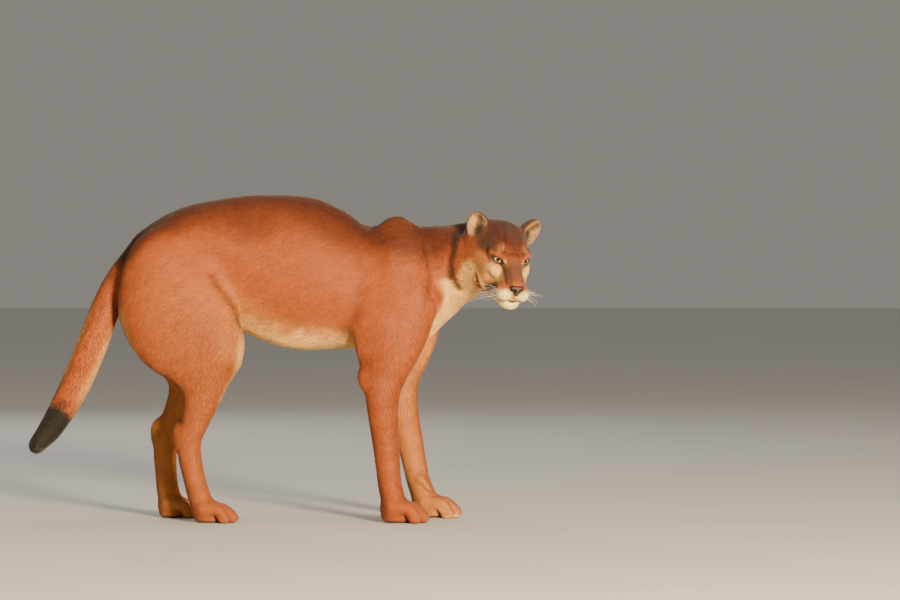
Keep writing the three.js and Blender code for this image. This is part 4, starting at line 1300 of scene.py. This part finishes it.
def add_eye(side, word):
    ways, faces = ball_rows(64, 48)
    bulge = 1 + CORNEA_BULGE * rise(ways[:, 2], 0.72, 0.92)
    local = ways * (EYE_RADIUS * EYE_CLEARANCE * bulge)[:, None]
    places = from_head(local @ gaze_axes(side) + eye_centre(side))
    eye = mesh_object("eyeball_" + word, places, faces, iris_material)
    layer = eye.data.attributes.new("sight", "FLOAT_VECTOR", "POINT")
    layer.data.foreach_set("vector", ways.ravel())
    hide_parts("eye_" + word)


iris_material = eye_material()
for side, word in SIDES.items():
    add_eye(side, word)


# Nose leather
def nose_material():
    material, tree, shader = new_material("nose_leather", 0.55)
    vary_colour(tree, shader, stored_values(tree, "coat").outputs["Color"], 500, 0.2)
    place = tree.nodes.new("ShaderNodeTexCoord")
    pebbles = tree.nodes.new("ShaderNodeTexVoronoi")
    pebbles.inputs["Scale"].default_value = 900
    tree.links.new(place.outputs["Object"], pebbles.inputs["Vector"])
    add_bump(tree, shader, pebbles.outputs["Distance"], 0.5, 0.0004)
    return material


LEATHER = np.array((0.070, 0.023, 0.018))
nose_box = from_head([(f, l, u) for f in (148, 184) for l in (-24, 24) for u in (-58, -16)])
nose_points, nose_faces = surface_mesh(nose_pad_field, nose_box.min(0) - 2, nose_box.max(0) + 2,
                                       lambda centres: np.full(len(centres), FINEST))
nose_points = settle(nose_pad_field, nose_points, 2, NOSE_SHIFT)
nose = mesh_object("nose_pad", nose_points, nose_faces, nose_material())
nose_spots = to_head(nose_points)
# Painted shade: the nostrils black inside their hollows.
in_nostril = 1 - rise(nostril_field(nose_spots), 0.3, 2.4)
nose_colours = mixed(np.tile(LEATHER, (len(nose_points), 1)), BLACK, in_nostril)
nose_colours = mixed(nose_colours, BLACK * 2, 0.7 * (1 - rise(nose_spots[:, 2], -50, -40)))
nose_colours = mixed(nose_colours, BLACK * 2.5, 0.6 * rise(np.abs(nose_spots[:, 1]), 11, 19))
add_colours(nose, nose_colours)
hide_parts("nose")


# Whiskers, brow hairs and claws are tapered tubes along a bent line.
NO_HAIRS_WAY = (0.31, 0.17, 0.93)  # a direction that none of them follows


def bent_tubes(name, lines, radii, around, material):
    """Closed tubes along lines of the same number of points, with a radius at each."""
    all_points, all_faces = [], []
    count = len(lines[0])
    base = 0
    for line, radius in zip(lines, radii):
        way = unit(np.gradient(line, axis=0))
        side_way = unit(np.cross(way, NO_HAIRS_WAY))
        other = np.cross(way, side_way)
        for i in range(count - 1):
            for a in np.linspace(0, 2 * math.pi, around, endpoint=False):
                all_points.append(line[i] + radius[i] * (math.cos(a) * side_way[i] + math.sin(a) * other[i]))
        all_points += [line[-1], line[0]]
        tip, foot = base + (count - 1) * around, base + (count - 1) * around + 1
        for k in range(around):
            n = (k + 1) % around
            for i in range(count - 2):
                a, b = base + i * around, base + (i + 1) * around
                all_faces += [(a + k, a + n, b + n), (a + k, b + n, b + k)]
            last = base + (count - 2) * around
            all_faces += [(last + k, last + n, tip), (base + n, base + k, foot)]
        base = foot + 1
    return mesh_object(name, np.array(all_points), np.array(all_faces), material)


def skin_point(start, way):
    """Where a line from inside the head leaves the skin, in the head's own measures."""
    start, way = np.asarray(start, float), unit(np.asarray(way, float))
    reach = np.arange(0, 70.25, 0.25)
    inside = skin_field(from_head(start + reach[:, None] * way)) < 0
    return start + way * reach[np.argmin(inside)] if not inside.all() else start


ALONG = np.linspace(0, 1, 9)[:, None]  # the share of the way along each hair and claw
WHISKER_ROWS, WHISKER_COLUMNS, BROW_HAIRS = 3, 4, 4
WHISKER_RADIUS, BROW_RADIUS, CLAW_RADIUS = 0.26, 0.16, 2.2


def whisker_lines():
    lines = []
    for side in SIDES:
        for row in range(WHISKER_ROWS):
            for column in range(WHISKER_COLUMNS):
                start = (146 - 8 * column, side * 14, -42 - 8 * row)
                root = skin_point(start, (0.35 - 0.12 * column, side, -0.1))
                length = draw.uniform(36, 58) + 5 * column
                way = unit(np.array([-0.32 - 0.15 * column, side * 1.0, -0.12 - 0.14 * row]))
                way = unit(way + 0.12 * draw.normal(size=3))
                sag = np.array([-0.25, 0, -0.34]) * length
                line = root - way * 1.5 + way * length * ALONG + sag * ALONG * ALONG * 0.7
                lines.append(from_head(line))
    return lines


def brow_lines():
    lines = []
    for side in SIDES:
        for i in range(BROW_HAIRS):
            root = skin_point((84, side * (24 + 5 * i), 16), (0.6, side * 0.1, 1))
            way = unit(np.array([0.55, side * (0.15 + 0.1 * i), 0.8]) + 0.1 * draw.normal(size=3))
            length = draw.uniform(22, 34)
            bend = np.array([-0.5, 0, 0.1]) * length
            lines.append(from_head(root - way + way * length * ALONG + bend * ALONG * ALONG * 0.6))
    return lines


WHITE_HAIR = np.array((0.85, 0.82, 0.76))
white_hair = two_tone_material("white_hair", 0.35, WHITE_HAIR * 0.8, WHITE_HAIR, 300, 2)
for name, lines, thickness in (("whiskers", whisker_lines(), WHISKER_RADIUS),
                               ("brow_hairs", brow_lines(), BROW_RADIUS)):
    taper = thickness * (1 - 0.85 * ALONG[:, 0])
    bent_tubes(name, lines, [taper] * len(lines), 5, white_hair)


def claw_lines(side, ball, step, size):
    lines, radii = [], []
    for spread, reach in TOES:
        x = ball[0] + step + (reach - 6) * size
        y = side * ball[1] + spread * size
        hooked = ALONG * ALONG * (-4.5, 0, -8.0)
        lines.append(np.array([x, y, 14 * size]) + ALONG * (12, 0, 0) + hooked)
        radii.append(CLAW_RADIUS * (1 - 0.8 * ALONG[:, 0] ** 1.5))
    return lines, radii


HORN = np.array((0.16, 0.12, 0.09))
claw_material = two_tone_material("claw_horn", 0.4, HORN * 0.8, HORN, 200, 2)
for name, ball, steps, size in (("fore_claws", FORE_BALL, FORE_STEP, FORE_PAW_SIZE),
                                ("hind_claws", HIND_BALL, HIND_STEP, HIND_PAW_SIZE)):
    for side, word in SIDES.items():
        lines, radii = claw_lines(side, ball, steps[side], size)
        bent_tubes(name + "_" + word, lines, radii, 8, claw_material)

# Floor, lights and camera. Each lamp has a place, a point it faces, a width, a power and a colour.
LAMPS = [
    ("key", (2.5, -5.9, 1.4), (0.1, 0, 0.35), 1.1, 1120, (1.0, 0.83, 0.52)),
    ("fill", (-3.4, -3.6, 2.2), (0, 0, 0.35), 3.0, 30, (1.0, 0.95, 0.9)),
    ("top", (0.2, 0.6, 4.2), (0, 0, 0.3), 3.0, 25, (1.0, 0.98, 0.95)),
    ("rim", (-1.5, 4.5, 2.6), (0, 0, 0.4), 2.0, 40, (1.0, 0.95, 0.88)),
]
CAMERA_AT = (0.357, -8.200, 0.594)
CAMERA_AIM = (0.357, 0.050, 0.484)
CAMERA_LENS = 150
FLOOR_REACH = 30
FLOOR_TONES = (0.72, 0.71, 0.69), (0.76, 0.75, 0.73)


def looking(at, aim):
    return (Vector(aim) - Vector(at)).to_track_quat("-Z", "Y").to_euler()


def floor():
    mesh = bpy.data.meshes.new("floor")
    corners = [(FLOOR_REACH * x, FLOOR_REACH * y, 0) for x, y in ((-1, -1), (1, -1), (1, 1), (-1, 1))]
    mesh.from_pydata(corners, [], [(0, 1, 2, 3)])
    mesh.materials.append(two_tone_material("pale_floor", 0.85, *FLOOR_TONES, 3, 4))
    piece = bpy.data.objects.new("floor", mesh)
    bpy.context.scene.collection.objects.link(piece)


def light(name, at, aim, size, power, colour):
    lamp = bpy.data.lights.new(name, "AREA")
    lamp.shape = "DISK"
    lamp.size = size
    lamp.energy = power
    lamp.color = colour
    holder = bpy.data.objects.new(name, lamp)
    holder.location = at
    holder.rotation_euler = looking(at, aim)
    bpy.context.scene.collection.objects.link(holder)


floor()
for lamp_row in LAMPS:
    light(*lamp_row)

world = bpy.data.worlds.new("studio")
bpy.context.scene.world = world
world.use_nodes = True
background = world.node_tree.nodes["Background"]
background.inputs["Color"].default_value = (0.90, 0.84, 0.75, 1)
background.inputs["Strength"].default_value = 0.28

camera_data = bpy.data.cameras.new("camera")
camera_data.lens = CAMERA_LENS
camera_data.sensor_width = 36
camera = bpy.data.objects.new("camera", camera_data)
camera.location = CAMERA_AT
camera.rotation_euler = looking(CAMERA_AT, CAMERA_AIM)
bpy.context.scene.collection.objects.link(camera)
bpy.context.scene.camera = camera
